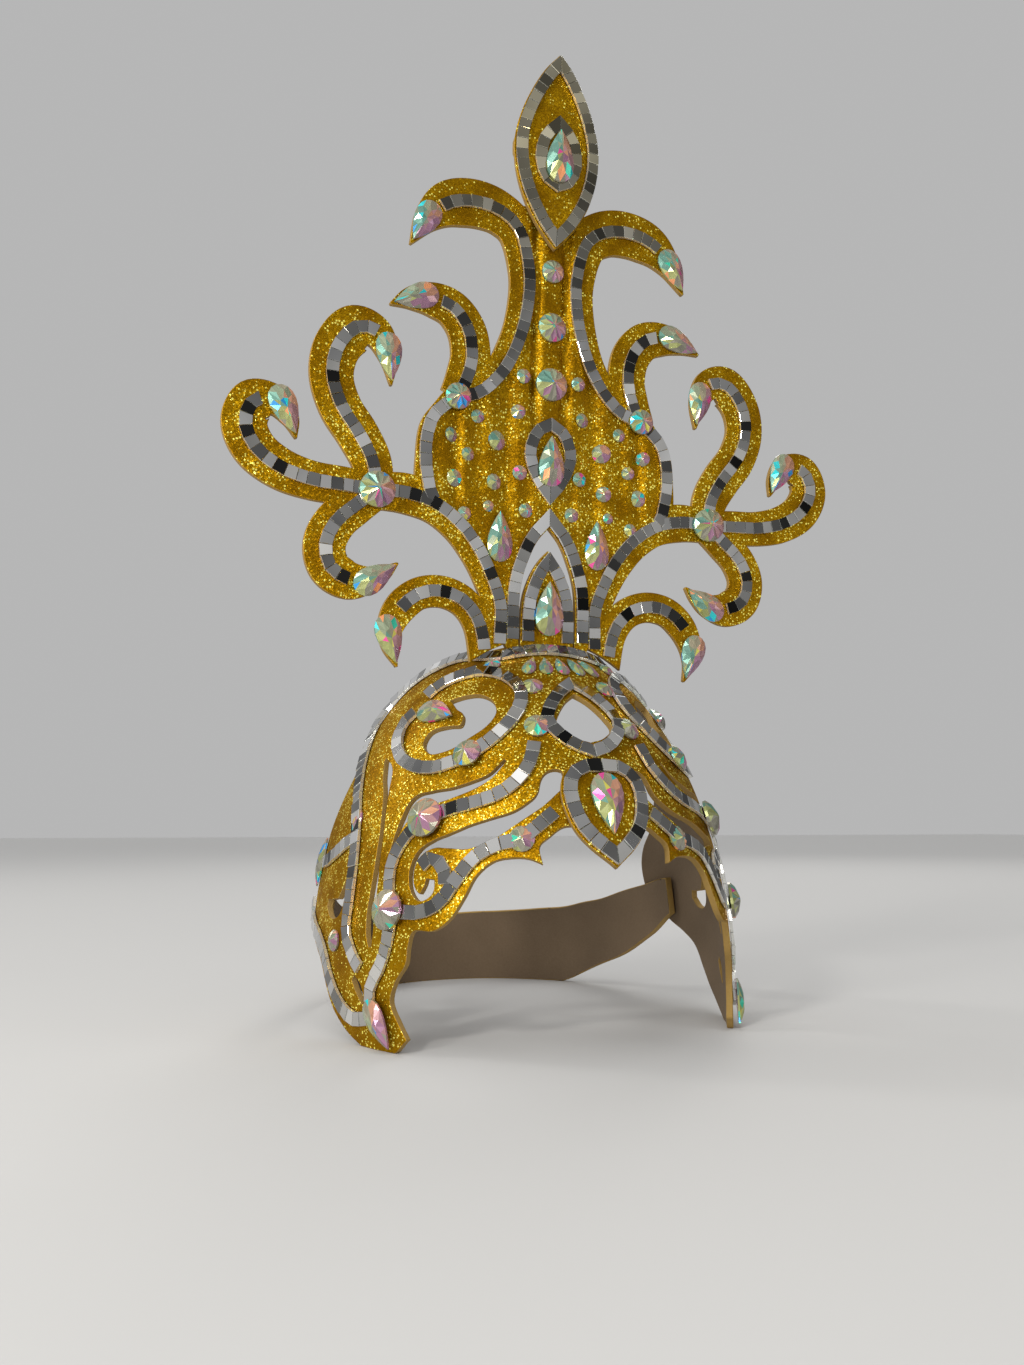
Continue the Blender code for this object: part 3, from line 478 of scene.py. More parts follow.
def above_floor(flat):
    """The outline with what reaches below the floor pulled up to it."""
    reach = np.linalg.norm(flat, axis=1, keepdims=True)
    return flat * np.minimum(1, (DOME_RISE * math.pi / 2 + DOME_LEVEL - 2 * NUDGE) / reach)


def on_dome_curve(rows):
    """The curve through a table's places on the cap's layout, kept above the floor."""
    return above_floor(curve(dome_flat(rows["around"], rows["down"])))


def chained(*curves):
    """Curves that follow each other, each starting where the last one ends."""
    return np.vstack([curves[0], *(part[1:] for part in curves[1:])])


def flipped(flat):
    """The same on the other side: x times -1."""
    return flat * [-1, 1]


def both_halves(half):
    """A closed outline from the half of it at +X, with both ends on the middle."""
    return np.vstack([half, flipped(half)[-2:0:-1]])


def through_middle(half):
    """An open path from the half of it at +X, which starts on the middle."""
    return np.vstack([flipped(half)[:0:-1], half])


def bottomed(half):
    """The half with a start on the middle."""
    return np.vstack([[0, half[0, 1]], half])


def shifted(place, path, depth, closed=True):
    """The path moved to its left by a depth measured on the bent sheet, mitred."""
    base = place(path)
    slopes = np.stack([place(path + step) - base for step in NUDGE * np.eye(2)], -1) / NUDGE
    ahead = np.roll(path, -1, axis=0) - path
    behind = np.roll(ahead, 1, axis=0)
    if not closed:
        ahead[-1] = behind[-1]
        behind[0] = ahead[0]
    turn = sum(unit((slopes @ arrow[:, :, None])[:, :, 0]) for arrow in (ahead, behind))
    left = np.cross(unit(np.cross(slopes[:, :, 0], slopes[:, :, 1])), turn)
    stretch = 2 / np.maximum((turn**2).sum(1), MITRE_LIMIT) * depth
    return path + (np.linalg.pinv(slopes) @ (left * stretch[:, None])[:, :, None])[:, :, 0]


def tapered(place, flat, half):
    """The outline of a band along a curve, with a half width at each knot."""
    course = curve(np.column_stack([flat, half]))
    path, wide = course[:, :2], course[:, 2]
    return np.vstack([shifted(place, path, wide, False), shifted(place, path, -wide, False)[::-1]])


def counter_clockwise(outline):
    """The loop, reversed where the cross products of its corners in turn sum below 0."""
    x, y = outline.T
    turning = (x * np.roll(y, -1) - y * np.roll(x, -1)).sum()
    return outline if turning > 0 else outline[::-1]


def grid_inside(loops, step):
    """Places on a square grid that keep a margin from every loop."""
    corners = np.vstack(loops)
    marks = [np.arange(low, high, step) for low, high in zip(corners.min(0), corners.max(0))]
    grid = np.stack(np.meshgrid(*marks), -1).reshape(-1, 2) + step / 3
    for loop in loops:
        near = ((grid > loop.min(0) - GRID_MARGIN) & (grid < loop.max(0) + GRID_MARGIN)).all(1)
        away = np.ones(len(grid), bool)
        away[near] = np.linalg.norm(grid[near][:, None] - loop, axis=2).min(1) > GRID_MARGIN
        grid = grid[away]
    return grid


def linked(name, data):
    """A new object in the scene."""
    thing = bpy.data.objects.new(name, data)
    bpy.context.scene.collection.objects.link(thing)
    return thing


def finished(name, points, faces, materials, slots=None, stands_for=(), colours=None, normals=None):
    """An object of the crown from arrays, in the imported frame."""
    mesh = bpy.data.meshes.new(name)
    mesh.from_pydata(points + FRAME_SHIFT, [], faces)
    for material in materials:
        mesh.materials.append(material)
    if slots is not None:
        mesh.polygons.foreach_set("material_index", np.asarray(slots, np.int32))
    if colours is not None:
        paint = mesh.color_attributes.new("paint", "FLOAT_COLOR", "CORNER")
        counts = [len(face) for face in faces]
        corners = np.repeat(np.column_stack([colours, np.ones(len(colours))]), counts, axis=0)
        paint.data.foreach_set("color", corners.astype(np.float32).ravel())
    if normals is not None:
        mesh.polygons.foreach_set("use_smooth", np.ones(len(faces), bool))
        mesh.normals_split_custom_set_from_vertices(normals)
    piece = linked(name, mesh)
    if stands_for:
        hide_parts(*stands_for)
    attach(piece, "root")
    return piece


def foam_sheet(node, place, low, high, outlines, cuts, step, materials):
    """A bent foam sheet: the outlines joined less the cuts, with rounded rims.

    The faces are the layout's triangles at the two heights. The rim's profile
    is a quarter turn, a straight wall and a quarter turn, carried along it.
    """
    loops = [counter_clockwise(loop) for loop in (*outlines, *cuts)]
    firsts = np.cumsum([0, *map(len, loops)])
    edges = [list(range(first, first + len(loop))) for first, loop in zip(firsts, loops)]
    corners = np.vstack([*loops, grid_inside(loops, step)])
    found = delaunay_2d_cdt([Vector(corner) for corner in corners], [], edges, 0, MERGE)
    kept = [bool(owners) and max(owners) < len(outlines) for owners in found[5]]
    used, faces = np.unique(np.array(found[2])[kept], return_inverse=True)
    faces = faces.reshape(-1, 3)
    flat = np.array(found[0])[used]

    sides = np.concatenate([faces[:, [0, 1]], faces[:, [1, 2]], faces[:, [2, 0]]])
    _, same, count = np.unique(np.sort(sides, axis=1), axis=0, return_inverse=True, return_counts=True)
    rim = sides[count[same.ravel()] == 1]
    ids, after = rim.T
    ahead_of, behind_of = np.zeros((2, len(flat)), int)
    ahead_of[ids], behind_of[after] = after, ids
    surface, up = place(flat, high), normals_on(place, flat)
    base, rim_up = surface[ids], up[ids]
    ahead = unit(surface[ahead_of[ids]] - base)
    behind = unit(base - surface[behind_of[ids]])
    inward = np.cross(rim_up, ahead) + np.cross(rim_up, behind)
    inward = 2 * inward / np.maximum((inward**2).sum(1, keepdims=True), MITRE_LIMIT)

    # The profile's rings: two of them end the quarter turns at the straight wall
    turns = np.radians([0, 45, 90, 90, 135, 180])
    lower = np.arange(len(turns)) >= len(turns) / 2
    insets = ROUND_OVER * (1 - np.sin(turns))
    drops = np.where(lower, high - low - ROUND_OVER, ROUND_OVER) - ROUND_OVER * np.cos(turns)
    rings = [base + inset * inward - drop * rim_up for inset, drop in zip(insets, drops)]
    facing = [math.cos(turn) * rim_up - math.sin(turn) * unit(inward) for turn in turns]
    top, bottom = surface.copy(), place(flat, low)
    top[ids], bottom[ids] = rings[0], rings[-1]
    points = np.vstack([top, *rings[1:-1], bottom])
    normals = np.vstack([up, *facing[1:-1], -up])
    # Where each ring's corners start, the last one's with the back's
    order = np.zeros(len(flat), int)
    order[ids] = np.arange(len(ids))
    *starts, last = [len(flat) + k * len(ids) for k in range(len(rings) - 1)]
    levels = [rim, *(order[rim] + start for start in starts), rim + last]
    quads = [np.hstack([a[:, ::-1], b]) for a, b in zip(levels[:-1], levels[1:])]
    all_faces = [*faces.tolist(), *np.vstack(quads).tolist(), *(faces[:, ::-1] + last).tolist()]
    slots = np.repeat([0, 1, 2], [len(faces) + len(rim), (len(quads) - 1) * len(rim), len(faces)])
    piece = finished(node + "_foam", points, all_faces, materials, slots, (node,), normals=normals)


def measured(place, path):
    """Lengths along the bent path, from its start."""
    return np.append(0, np.cumsum(np.linalg.norm(np.diff(place(path), axis=0), axis=1)))


def at_marks(path, length, marks):
    """The path's places at some of its lengths."""
    return np.stack([np.interp(marks, length, column) for column in path.T], 1)


def trimmed(place, path, start, end):
    """The path without those lengths at its start and end."""
    length = measured(place, path)
    marks = np.clip(length, start, length[-1] - end)
    return at_marks(path, length, marks[np.append(True, np.diff(marks) > MERGE)])


def tile_corners(place, path, base, mitres=(False, False)):
    """Four corners of each tile of a row: two marks along the path, less half a
    joint, and half the row's width to both sides of it.

    A mitred end slides along the row until it meets the middle plane.
    """
    length = measured(place, path)
    count = max(1, round(length[-1] / TILE))
    marks = np.arange(count + 1.0)
    marks[1:-1] += chance.uniform(-TILE_SPREAD, TILE_SPREAD, count - 1)
    marks *= length[-1] / count
    ends = np.stack([marks[:-1] + JOINT / 2, marks[1:] - JOINT / 2], 1).ravel()
    flat = at_marks(path, length, ends)
    near = (np.clip(ends + way * TILE / 4, 0, length[-1]) for way in (-1, 1))
    before, after = (place(at_marks(path, length, marks)) for marks in near)
    along = unit(after - before)
    left = unit(np.cross(normals_on(place, flat), along))
    middle = place(flat, base + TILE_LIFT)
    pairs = np.stack([middle - MIRROR_WIDTH / 2 * left, middle + MIRROR_WIDTH / 2 * left], 1)
    for at, mitred in zip((0, -1), mitres):
        if mitred:
            side = np.sign(middle[len(middle) // 2, 0])
            slide = (side * JOINT / 2 - pairs[at, :, 0]) / along[at, 0]
            pairs[at] += slide[:, None] * along[at]
    pairs = pairs.reshape(-1, 2, 2, 3)
    return np.stack([pairs[:, 0, 0], pairs[:, 1, 0], pairs[:, 1, 1], pairs[:, 0, 1]], 1)


def row(place, path, start, end):
    """The tiles along a path without those lengths at its start and end."""
    return tile_corners(place, trimmed(place, path, start, end), GAP)


def tiles(node, rows, shares=CREST_SHARES, lean=0.0):
    """Mirror tiles: each a flat prism whose chamfered face tilts a little.

    A face leans forward by the lean times how far its sheet lies level and its
    row runs across.
    """
    corners = np.vstack(rows)
    middle = corners.mean(1, keepdims=True)
    up = unit(np.cross(corners[:, 2] - corners[:, 0], corners[:, 3] - corners[:, 1]))
    left = unit(corners[:, 3] - corners[:, 0])
    tilt = chance.normal(0, TILE_TILT, (len(up), 2))
    rise = lean * np.maximum(up[:, 2:], 0) * left[:, 1:2]
    face = unit(up + (tilt[:, :1] - rise) * left + tilt[:, 1:] * np.cross(up, left))[:, None]
    up = up[:, None]
    arms = corners - middle
    arms = arms - (arms * up).sum(2, keepdims=True) * up
    level = arms - (arms * face).sum(2, keepdims=True) / (up * face).sum(2, keepdims=True) * up
    top = MIRROR_THICK + np.abs(rise)[:, None] * MIRROR_WIDTH / 2
    inner = 1 - 2 * CHAMFER / MIRROR_WIDTH
    points = [middle + arms, middle + level + (top - CHAMFER) * up, middle + inner * level + top * up]
    points = np.stack(points, 1)
    # A tile has three rings of four corners, and ten faces
    around = np.arange(4)
    after = np.roll(around, -1)
    walls = [np.stack([around + k, after + k, after + k + 4, around + k + 4], 1) for k in (0, 4)]
    one = np.vstack([[[3, 2, 1, 0]], *walls, [[8, 9, 10, 11]]])
    faces = (np.arange(len(points))[:, None, None] * 12 + one).reshape(-1, 4)
    slots = np.tile([1] * 5 + [0] * 5, len(points))
    # Painted reflection: each tile's paint gets a shade for the bright or dark room it mirrors
    shade = chance.choice(PAINTED_REFLECTION_SHADES, len(points), p=shares)
    # Painted reflection of the gold foam: more olive higher up, and a little at random
    high = eased((middle[:, 0, 2] - GOLD_REFLECTED_FROM) / (GOLD_REFLECTED_TO - GOLD_REFLECTED_FROM))
    reflected_gold = chance.uniform(0, GOLD_REFLECTED_SPREAD, len(points)) + MOST_GOLD_REFLECTED * high
    painted_reflection = np.stack([shade, shade * (1 - reflected_gold / 4), shade * (1 - reflected_gold)], 1)
    name = node.replace("mirrors", "tiles") if "mirrors" in node else node + "_tiles"
    piece = finished(
        name, points.reshape(-1, 3), faces.tolist(), (MIRROR, TILE_SIDE), slots,
        (node,), np.repeat(painted_reflection, len(one), axis=0),
    )


def mirrored_tiles(*pieces):
    """Rows on both sides that meet on the middle plane. A piece: node, place,
    line at +X, base, whether it starts on the plane too, shares."""
    sides = [
        [
            tile_corners(place, line * [way, 1], base, (starts, True))
            for _, place, line, base, starts, _ in pieces
        ]
        for way in SIDES.values()
    ]
    for (node, *_, shares), rows in zip(pieces, zip(*sides)):
        tiles(node, rows, shares)


def half_border(place, outline_half):
    """The middle line of a border row at +X, clear of the middle plane."""
    outline = counter_clockwise(both_halves(outline_half))
    line = shifted(place, outline, BORDER_INSET)
    kept = line[(line[:, 0] > 0) & (outline[:, 0] > 0)]
    away = np.linalg.norm(place(kept)[:, None] - place(outline), axis=2).min(1)
    return kept[away > CLEAR_SHARE * BORDER_INSET]


# Rainbow coating by a facet's side, from image right round over the top: partly the coating's own
# colours, partly painted reflection, as the colour follows the way a facet leans
COAT_AND_REFLECTION_SIDES = np.array([
    (0.47, 0.25, 0.27), (0.64, 0.32, 0.20), (0.39, 0.35, 0.24), (0.30, 0.35, 0.23),
    (0.15, 0.33, 0.26), (0.38, 0.41, 0.15), (0.27, 0.26, 0.20), (0.36, 0.18, 0.28),
])
# Painted glints: bright flashes on a few facets
PAINTED_GLINT_COLOURS = np.array([
    (0.02, 0.66, 0.70), (0.72, 0.66, 0.12), (0.80, 0.08, 0.34), (0.95, 0.38, 0.16),
    (0.03, 0.34, 0.80), (0.05, 0.60, 0.40),
])
COAT_SPREAD = 0.045
PAINTED_GLINT_SHARE = 0.09
COAT_BRIGHTNESS = (0.7, 1.1)


def coat_and_reflection_colours(facing, up):
    """Rainbow coating by the way a facet leans on its stone, partly painted reflection:
    teal and green to the crown's right, orange and rose to its left, with a few
    bright flashes that are painted glints."""
    lean = facing - (facing * up).sum(1, keepdims=True) * up
    turn = np.arctan2(lean[:, 2] + lean[:, 1], lean[:, 0]) / (2 * math.pi)
    place_in = (turn + chance.normal(0, COAT_SPREAD, len(turn))) * len(COAT_AND_REFLECTION_SIDES)
    colour = COAT_AND_REFLECTION_SIDES[np.round(place_in).astype(int) % len(COAT_AND_REFLECTION_SIDES)]
    # Painted glints on a few facets
    glints = chance.random(len(turn)) < PAINTED_GLINT_SHARE
    glint_colours = PAINTED_GLINT_COLOURS[chance.integers(0, len(PAINTED_GLINT_COLOURS), len(turn))]
    colour = np.where(glints[:, None], glint_colours, colour)
    return colour * chance.uniform(*COAT_BRIGHTNESS, len(turn))[:, None]


# Shares of the outline at which the middle ring and the table of a cut lie
CUT_RINGS = {"round": (0.72, 0.16), "pear": (0.74, 0.40), "navette": (0.74, 0.36)}
# A stone's rise as a share of its width, and levels of its rings as shares of that
STONE_RISE = 0.30
GIRDLE, MIDDLE_RING, TABLE_RING = 0.26, 0.66, 0.95
INNER_LENGTH = 0.97
PEAR_BELLY = 0.77
NAVETTE_POWER = 0.4


def stone_outline(shape, length, width, turn):
    """x is half the width times the sine of the turn, swollen away from a
    pear's tip or drawn in to a navette's two; y is half the length times its cosine."""
    swell = {
        "pear": np.sin(turn / 2) / PEAR_BELLY,
        "navette": np.abs(np.sin(turn)) ** NAVETTE_POWER,
        "round": np.ones_like(turn),
    }[shape]
    return np.stack([width / 2 * np.sin(turn) * swell, length / 2 * np.cos(turn)], 1)


def stone_facets(shape, length, width, sides):
    """Corners and facets of a cut stone lying on its back, point at +Y.

    Its rings are the outline, the outline a little up, every second corner
    drawn in to the middle ring, and the table's corners round a low centre.
    """
    mid_share, table_share = CUT_RINGS[shape]
    rise = STONE_RISE * width
    turn = np.arange(2 * sides) * math.pi / sides
    edge = stone_outline(shape, length, width, turn)
    sleek = stone_outline(shape, INNER_LENGTH * length, width, turn)
    rings = [
        (edge, 0.0), (edge, GIRDLE * rise), (mid_share * sleek[1::2], MIDDLE_RING * rise),
        (table_share * sleek[::2], TABLE_RING * rise),
    ]
    corners = [np.insert(ring, 2, level, axis=1) for ring, level in rings]
    points = np.vstack([*corners, [[0, 0, rise]]])
    a = 2 * sides
    k = np.arange(sides)
    girdle, mid, table_ring = a + np.arange(a), 2 * a + k, 2 * a + sides + k
    centre = np.full(sides, len(points) - 1)
    even, odd, following = girdle[2 * k], girdle[2 * k + 1], girdle[(2 * k + 2) % a]
    triangles = [
        (centre, np.roll(table_ring, -1), table_ring), (table_ring, np.roll(table_ring, -1), mid),
        (mid, odd, even), (mid, following, odd),
    ]
    kites = np.stack([table_ring, mid, even, np.roll(mid, 1)], 1)
    low = np.arange(a)
    walls = np.stack([np.roll(low, -1), low, low + a, np.roll(low, -1) + a], 1)
    faces = [np.stack(sides_of, 1).tolist() for sides_of in triangles]
    return points, [*sum(faces, []), *kites.tolist(), *walls.tolist(), low.tolist()]


def seated(points, place, middle, tip, height):
    """The stone's corners on the sheet, its +Y turned towards the tip."""
    seat, ahead = place(np.array([middle, tip]), height)
    up = normals_on(place, np.array([middle]))[0]
    forward = unit(ahead - seat - np.dot(ahead - seat, up) * up)
    return seat + points @ np.array([np.cross(forward, up), forward, up]), up


def stones(name, seats, stands_for=()):
    """Cut stones in one piece. A seat: shape, length, width, sides, place, middle, tip, height."""
    points, faces, ups, total = [], [], [], 0
    for *cut, place, middle, tip, height in seats:
        local, facets = stone_facets(*cut)
        local, up = seated(local, place, middle, tip, height)
        points.append(local)
        ups += [up] * len(facets)
        faces += [[corner + total for corner in facet] for facet in facets]
        total += len(local)
    points = np.vstack(points)
    first, second, third = points[np.array([face[:3] for face in faces])].transpose(1, 0, 2)
    facing = np.cross(second - first, third - first)
    facing = facing / np.maximum(np.linalg.norm(facing, axis=1, keepdims=True), TINY)
    colours = coat_and_reflection_colours(facing, np.array(ups))
    piece = finished(name, points, faces, (CRYSTAL,), None, stands_for, colours)


def stone(node, cut, place, seat, tip, height):
    """A cut stone in the place of its solid."""
    stones(node + "_stone", [(*cut, STONE_SIDES, place, seat, tip, height)], (node,))


def node_group(name, inputs, outputs):
    """An empty shader group with sockets of those kinds, what it is given, and its end."""
    group = bpy.data.node_groups.new(name, "ShaderNodeTree")
    for in_out, sockets in (("INPUT", inputs), ("OUTPUT", outputs)):
        for label, kind in sockets.items():
            group.interface.new_socket(label, in_out=in_out, socket_type=kind)
    return group, group.nodes.new("NodeGroupInput").outputs, group.nodes.new("NodeGroupOutput")


def set_inputs(tree, node, values):
    """The node, with values or links on its inputs."""
    for label, value in dict(values).items():
        if isinstance(value, bpy.types.NodeSocket):
            tree.links.new(value, node.inputs[label])
        else:
            node.inputs[label].default_value = value
    return node


def add_node(tree, kind, values=(), **settings):
    """A new node with its settings and inputs."""
    node = tree.nodes.new(kind)
    for label, value in settings.items():
        setattr(node, label, value)
    return set_inputs(tree, node, values)


def worked(tree, operation, *values, kind="ShaderNodeMath", out=0):
    """The result of an operation on numbers, or on vectors by another kind of node."""
    return add_node(tree, kind, enumerate(values), operation=operation).outputs[out]


def ranged(tree, value, low, high, to_low=0.0, to_high=1.0, **settings):
    """The value carried from one range to another."""
    ends = {"From Min": low, "From Max": high, "To Min": to_low, "To Max": to_high}
    return add_node(tree, "ShaderNodeMapRange", {"Value": value, **ends}, **settings).outputs[0]


def mixed(tree, share, first, second):
    """A mix of two colours."""
    return add_node(tree, "ShaderNodeMix", {0: share, 6: first, 7: second}, data_type="RGBA").outputs[2]


# Glitter: scale of its patches, their range of noise, radii of the sparkles as
# shares of a cell, heights between which they thin out, and how much is left
PATCH_SCALE = 85.0
PATCH_RANGE = (0.33, 0.67)
SPARKLE_RADII = (0.20, 0.40)
# Painted shade: the sparkles thin out towards the top, where less light falls
PAINTED_SHADE_THINNING = (0.20, 0.36, 1.0, 0.3)
# Of the flakes and of a sparkle
GLITTER_ROUGHNESS = (0.42, 0.24)
GLITTER_METALLIC = (0.80, 0.45)
# Painted glint: the sparkle's bright colour, with less metal, stays bright under any light
GOLD = {
    "Size": 0.0005, "Tilt": 0.38, "Dark": (0.27, 0.13, 0.0015, 1),
    "Light": (0.58, 0.34, 0.006, 1), "Sparkle": (1.0, 0.91, 0.18, 1),
}
# Foam: scales of its pores and mottling, the weight of both noises, what is added
PORE_SCALE, MOTTLE_SCALE = 1200.0, 45.0
GRAIN_WEIGHT, GRAIN_LEVEL = 0.6, -0.1
FLOAT, COLOUR, VECTOR = "NodeSocketFloat", "NodeSocketColor", "NodeSocketVector"
ON_VECTORS = "ShaderNodeVectorMath"


def glitter_group():
    """Fine flakes, each with its own shade and lean, and bright round sparkles
    in some cells of a wider pattern: in patches, and fewer towards the top. The
    sparkles are painted glints, and their thinning towards the top is painted shade."""
    group, given, end = node_group(
        "glitter flakes",
        {
            "Size": FLOAT, "Tilt": FLOAT, "Dark": COLOUR, "Light": COLOUR, "Sparkle": COLOUR,
            "Spacing": FLOAT, "Sparkle share": FLOAT,
        },
        {"Color": COLOUR, "Roughness": FLOAT, "Metallic": FLOAT, "Normal": VECTOR},
    )
    place = add_node(group, "ShaderNodeTexCoord").outputs["Object"]
    scales = [worked(group, "DIVIDE", 1.0, given[size]) for size in ("Size", "Spacing")]
    fine, wide = (
        add_node(group, "ShaderNodeTexVoronoi", {"Vector": place, "Scale": scale}).outputs
        for scale in scales
    )
    pick, wide_pick = (
        add_node(group, "ShaderNodeSeparateColor", {"Color": cells["Color"]}).outputs
        for cells in (fine, wide)
    )
    lean = worked(group, "SUBTRACT", fine["Color"], (0.5, 0.5, 0.5), kind=ON_VECTORS)
    lean = worked(group, "MULTIPLY", lean, given["Tilt"], kind=ON_VECTORS)
    upright = add_node(group, "ShaderNodeNewGeometry").outputs["Normal"]
    tilted = worked(group, "ADD", upright, lean, kind=ON_VECTORS)
    broad = add_node(group, "ShaderNodeTexNoise", {"Vector": place, "Scale": PATCH_SCALE, "Detail": 2.0})
    patch = ranged(group, broad.outputs["Fac"], *PATCH_RANGE)
    radius = ranged(group, wide_pick["Green"], 0.0, 1.0, *SPARKLE_RADII)
    near = worked(group, "LESS_THAN", wide["Distance"], radius)
    height = add_node(group, "ShaderNodeSeparateXYZ", {"Vector": place}).outputs["Z"]
    crowd = worked(group, "MULTIPLY", patch, given["Sparkle share"])
    # Painted shade: fewer sparkles higher up
    crowd = worked(group, "MULTIPLY", crowd, ranged(group, height, *PAINTED_SHADE_THINNING))
    chosen = worked(group, "LESS_THAN", wide_pick["Red"], crowd)
    shown = worked(group, "MULTIPLY", near, chosen)
    shade = worked(group, "MULTIPLY", pick["Green"], patch)
    body = mixed(group, shade, given["Dark"], given["Light"])
    set_inputs(group, end, {
        "Color": mixed(group, shown, body, given["Sparkle"]),
        "Roughness": ranged(group, shown, 0.0, 1.0, *GLITTER_ROUGHNESS),
        "Metallic": ranged(group, shown, 0.0, 1.0, *GLITTER_METALLIC),
        "Normal": worked(group, "NORMALIZE", tilted, kind=ON_VECTORS),
    })
    return group


def grain_group():
    """Fine pores: a noise that darkens the colour and gives a height."""
    group, given, end = node_group(
        "foam pores", {"Light": COLOUR, "Dark": COLOUR}, {"Color": COLOUR, "Height": FLOAT}
    )
    place = add_node(group, "ShaderNodeTexCoord").outputs["Object"]
    fine, broad = (
        add_node(group, "ShaderNodeTexNoise", {"Vector": place, "Scale": scale, "Detail": detail})
        .outputs["Fac"] for scale, detail in ((PORE_SCALE, 3.0), (MOTTLE_SCALE, 2.0))
    )
    grain = worked(group, "MULTIPLY_ADD", fine, GRAIN_WEIGHT, GRAIN_LEVEL)
    grain = worked(group, "MULTIPLY_ADD", broad, GRAIN_WEIGHT, grain)
    colour = mixed(group, grain, given["Dark"], given["Light"])
    set_inputs(group, end, {"Color": colour, "Height": fine})
    return group


def new_material(name, **values):
    """A Principled material with plain values on its sockets."""
    material = bpy.data.materials.new(name)
    material.use_nodes = True
    tree = material.node_tree
    surface = tree.nodes["Principled BSDF"]
    set_inputs(tree, surface, {label.replace("_", " "): value for label, value in values.items()})
    return material, tree, surface


def glitter_material(name, spacing, share):
    """Gold glitter with sparkles, which are painted glints, that far apart, in that share of the places.
    """
    material, tree, surface = new_material(name, Specular_Tint=(0.90, 0.60, 0.10, 1))
    values = {**GOLD, "Spacing": spacing, "Sparkle share": share}
    flakes = add_node(tree, "ShaderNodeGroup", values, node_tree=GLITTER_FLAKES).outputs
    same = {label: flakes[label] for label in ("Roughness", "Metallic", "Normal")}
    set_inputs(tree, surface, {"Base Color": flakes["Color"], **same})
    return material


def foam_material(name, light, dark):
    """Foam with pores between two colours."""
    material, tree, surface = new_material(name, Roughness=0.85)
    colours = {"Light": (*light, 1), "Dark": (*dark, 1)}
    pores = add_node(tree, "ShaderNodeGroup", colours, node_tree=FOAM_PORES).outputs
    relief = {"Height": pores["Height"], "Strength": 0.35, "Distance": 0.0002}
    normal = add_node(tree, "ShaderNodeBump", relief).outputs["Normal"]
    set_inputs(tree, surface, {"Base Color": pores["Color"], "Normal": normal})
    return material


def painted_material(name, **values):
    """A material whose colour is the piece's paint attribute."""
    material, tree, surface = new_material(name, **values)
    paint = add_node(tree, "ShaderNodeVertexColor", layer_name="paint")
    tree.links.new(paint.outputs["Color"], surface.inputs["Base Color"])
    return material


GLITTER_FLAKES = glitter_group()
FOAM_PORES = grain_group()
# The cut edges are the foam's own tan, darkened with painted shade so that the walls inside the slits
# look shaded
CUT_EDGE_WITH_PAINTED_SHADE = foam_material("cut foam edge", (0.36, 0.23, 0.06), (0.22, 0.13, 0.03))
FOAM_BACK = foam_material("foam back", (0.20, 0.14, 0.085), (0.11, 0.075, 0.042))
# Outer face, cut edge and back of each sheet
# Painted glints and shade: the crest's sparkles are sparser than the cap's, as less light reaches the
# crest
CREST_FOAM = (glitter_material("crest glitter", 0.00105, 0.95), CUT_EDGE_WITH_PAINTED_SHADE, FOAM_BACK)
CAP_FOAM = (glitter_material("cap glitter", 0.00095, 1.2), CUT_EDGE_WITH_PAINTED_SHADE, FOAM_BACK)
BAND_FINISH = (FOAM_BACK, CUT_EDGE_WITH_PAINTED_SHADE, FOAM_BACK)
# The mirror tiles' colour is their paint attribute, which holds painted reflections
MIRROR = painted_material("mirror tile", Metallic=1.0, Roughness=0.05)
TILE_SIDE = new_material(
    "tile side", Metallic=0.75, Roughness=0.25, Base_Color=(0.80, 0.82, 0.80, 1)
)[0]
CRYSTAL = painted_material(
    "coated crystal", Metallic=0.35, Roughness=0.24, Coat_Weight=0.3, Coat_Roughness=0.08, IOR=1.6
)


def below_foot():
    """What is cut off the crest so that it stands on the cap, scribed to it."""
    x = np.linspace(-1, 1, FOOT_POINTS) * 1.5 * FOOT_HALF_WIDTH
    z = np.full_like(x, CREST_ROOT)
    over_strip = np.abs(x) > SEATED_HALF_WIDTH
    for _ in range(SCRIBE_ROUNDS):
        rear = on_crest(np.stack([x, z], 1), -FOAM)[:, 1]
        z = dome_top(x, rear) + SEAT_GAP + 1.5 * ON_MIRROR * over_strip
    deep = np.full_like(x, CREST_ROOT - CREST_RISE / 4)
    return np.vstack([np.stack([x, z], 1), np.stack([x, deep], 1)[::-1]])


def above_foot(path):
    """The part of a path that stays above the crest's foot."""
    foot = below_foot()[:FOOT_POINTS]
    return path[path[:, 1] > np.interp(path[:, 0], *foot.T) + FOOT_MARGIN]


def upwards(line):
    """What stays above the foot, from the bottom up."""
    line = above_foot(line)
    return line[np.argsort(line[:, 1])]


# The crest's pierced panel, the drop in its arch and the leaf at its top
branch = np.vstack([
    crest_flat(BRANCH["across"], BRANCH["up"]), crest_flat(100 * LEG_AWAY / CREST_HALF_SPAN, LEG["up"])
])
bands = [(crest_flat(rows["across"], rows["up"]), rows["wide"]) for rows in ARMS.values()]
bands.append((branch, np.append(BRANCH["wide"], LEG["wide"])))
arm_outlines = [tapered(on_crest, flat, wide * ARM_WIDTH / 200) for flat, wide in bands]
vase = on_crest_curve(VASE)
foot = crest_flat(100 * FOOT_HALF_WIDTH / CREST_HALF_SPAN, np.array([-12, 0]))
vase_half = np.vstack([foot[:1] * [0, 1], foot, vase, vase[-1:] * [0, 1]])
arch_half = bottomed(curve(arch_flat(ARCH, ARCH_HALF_WIDTH)))
drop_half = bottomed(curve(arch_flat(BASE_DROP, DROP_HALF_WIDTH)))
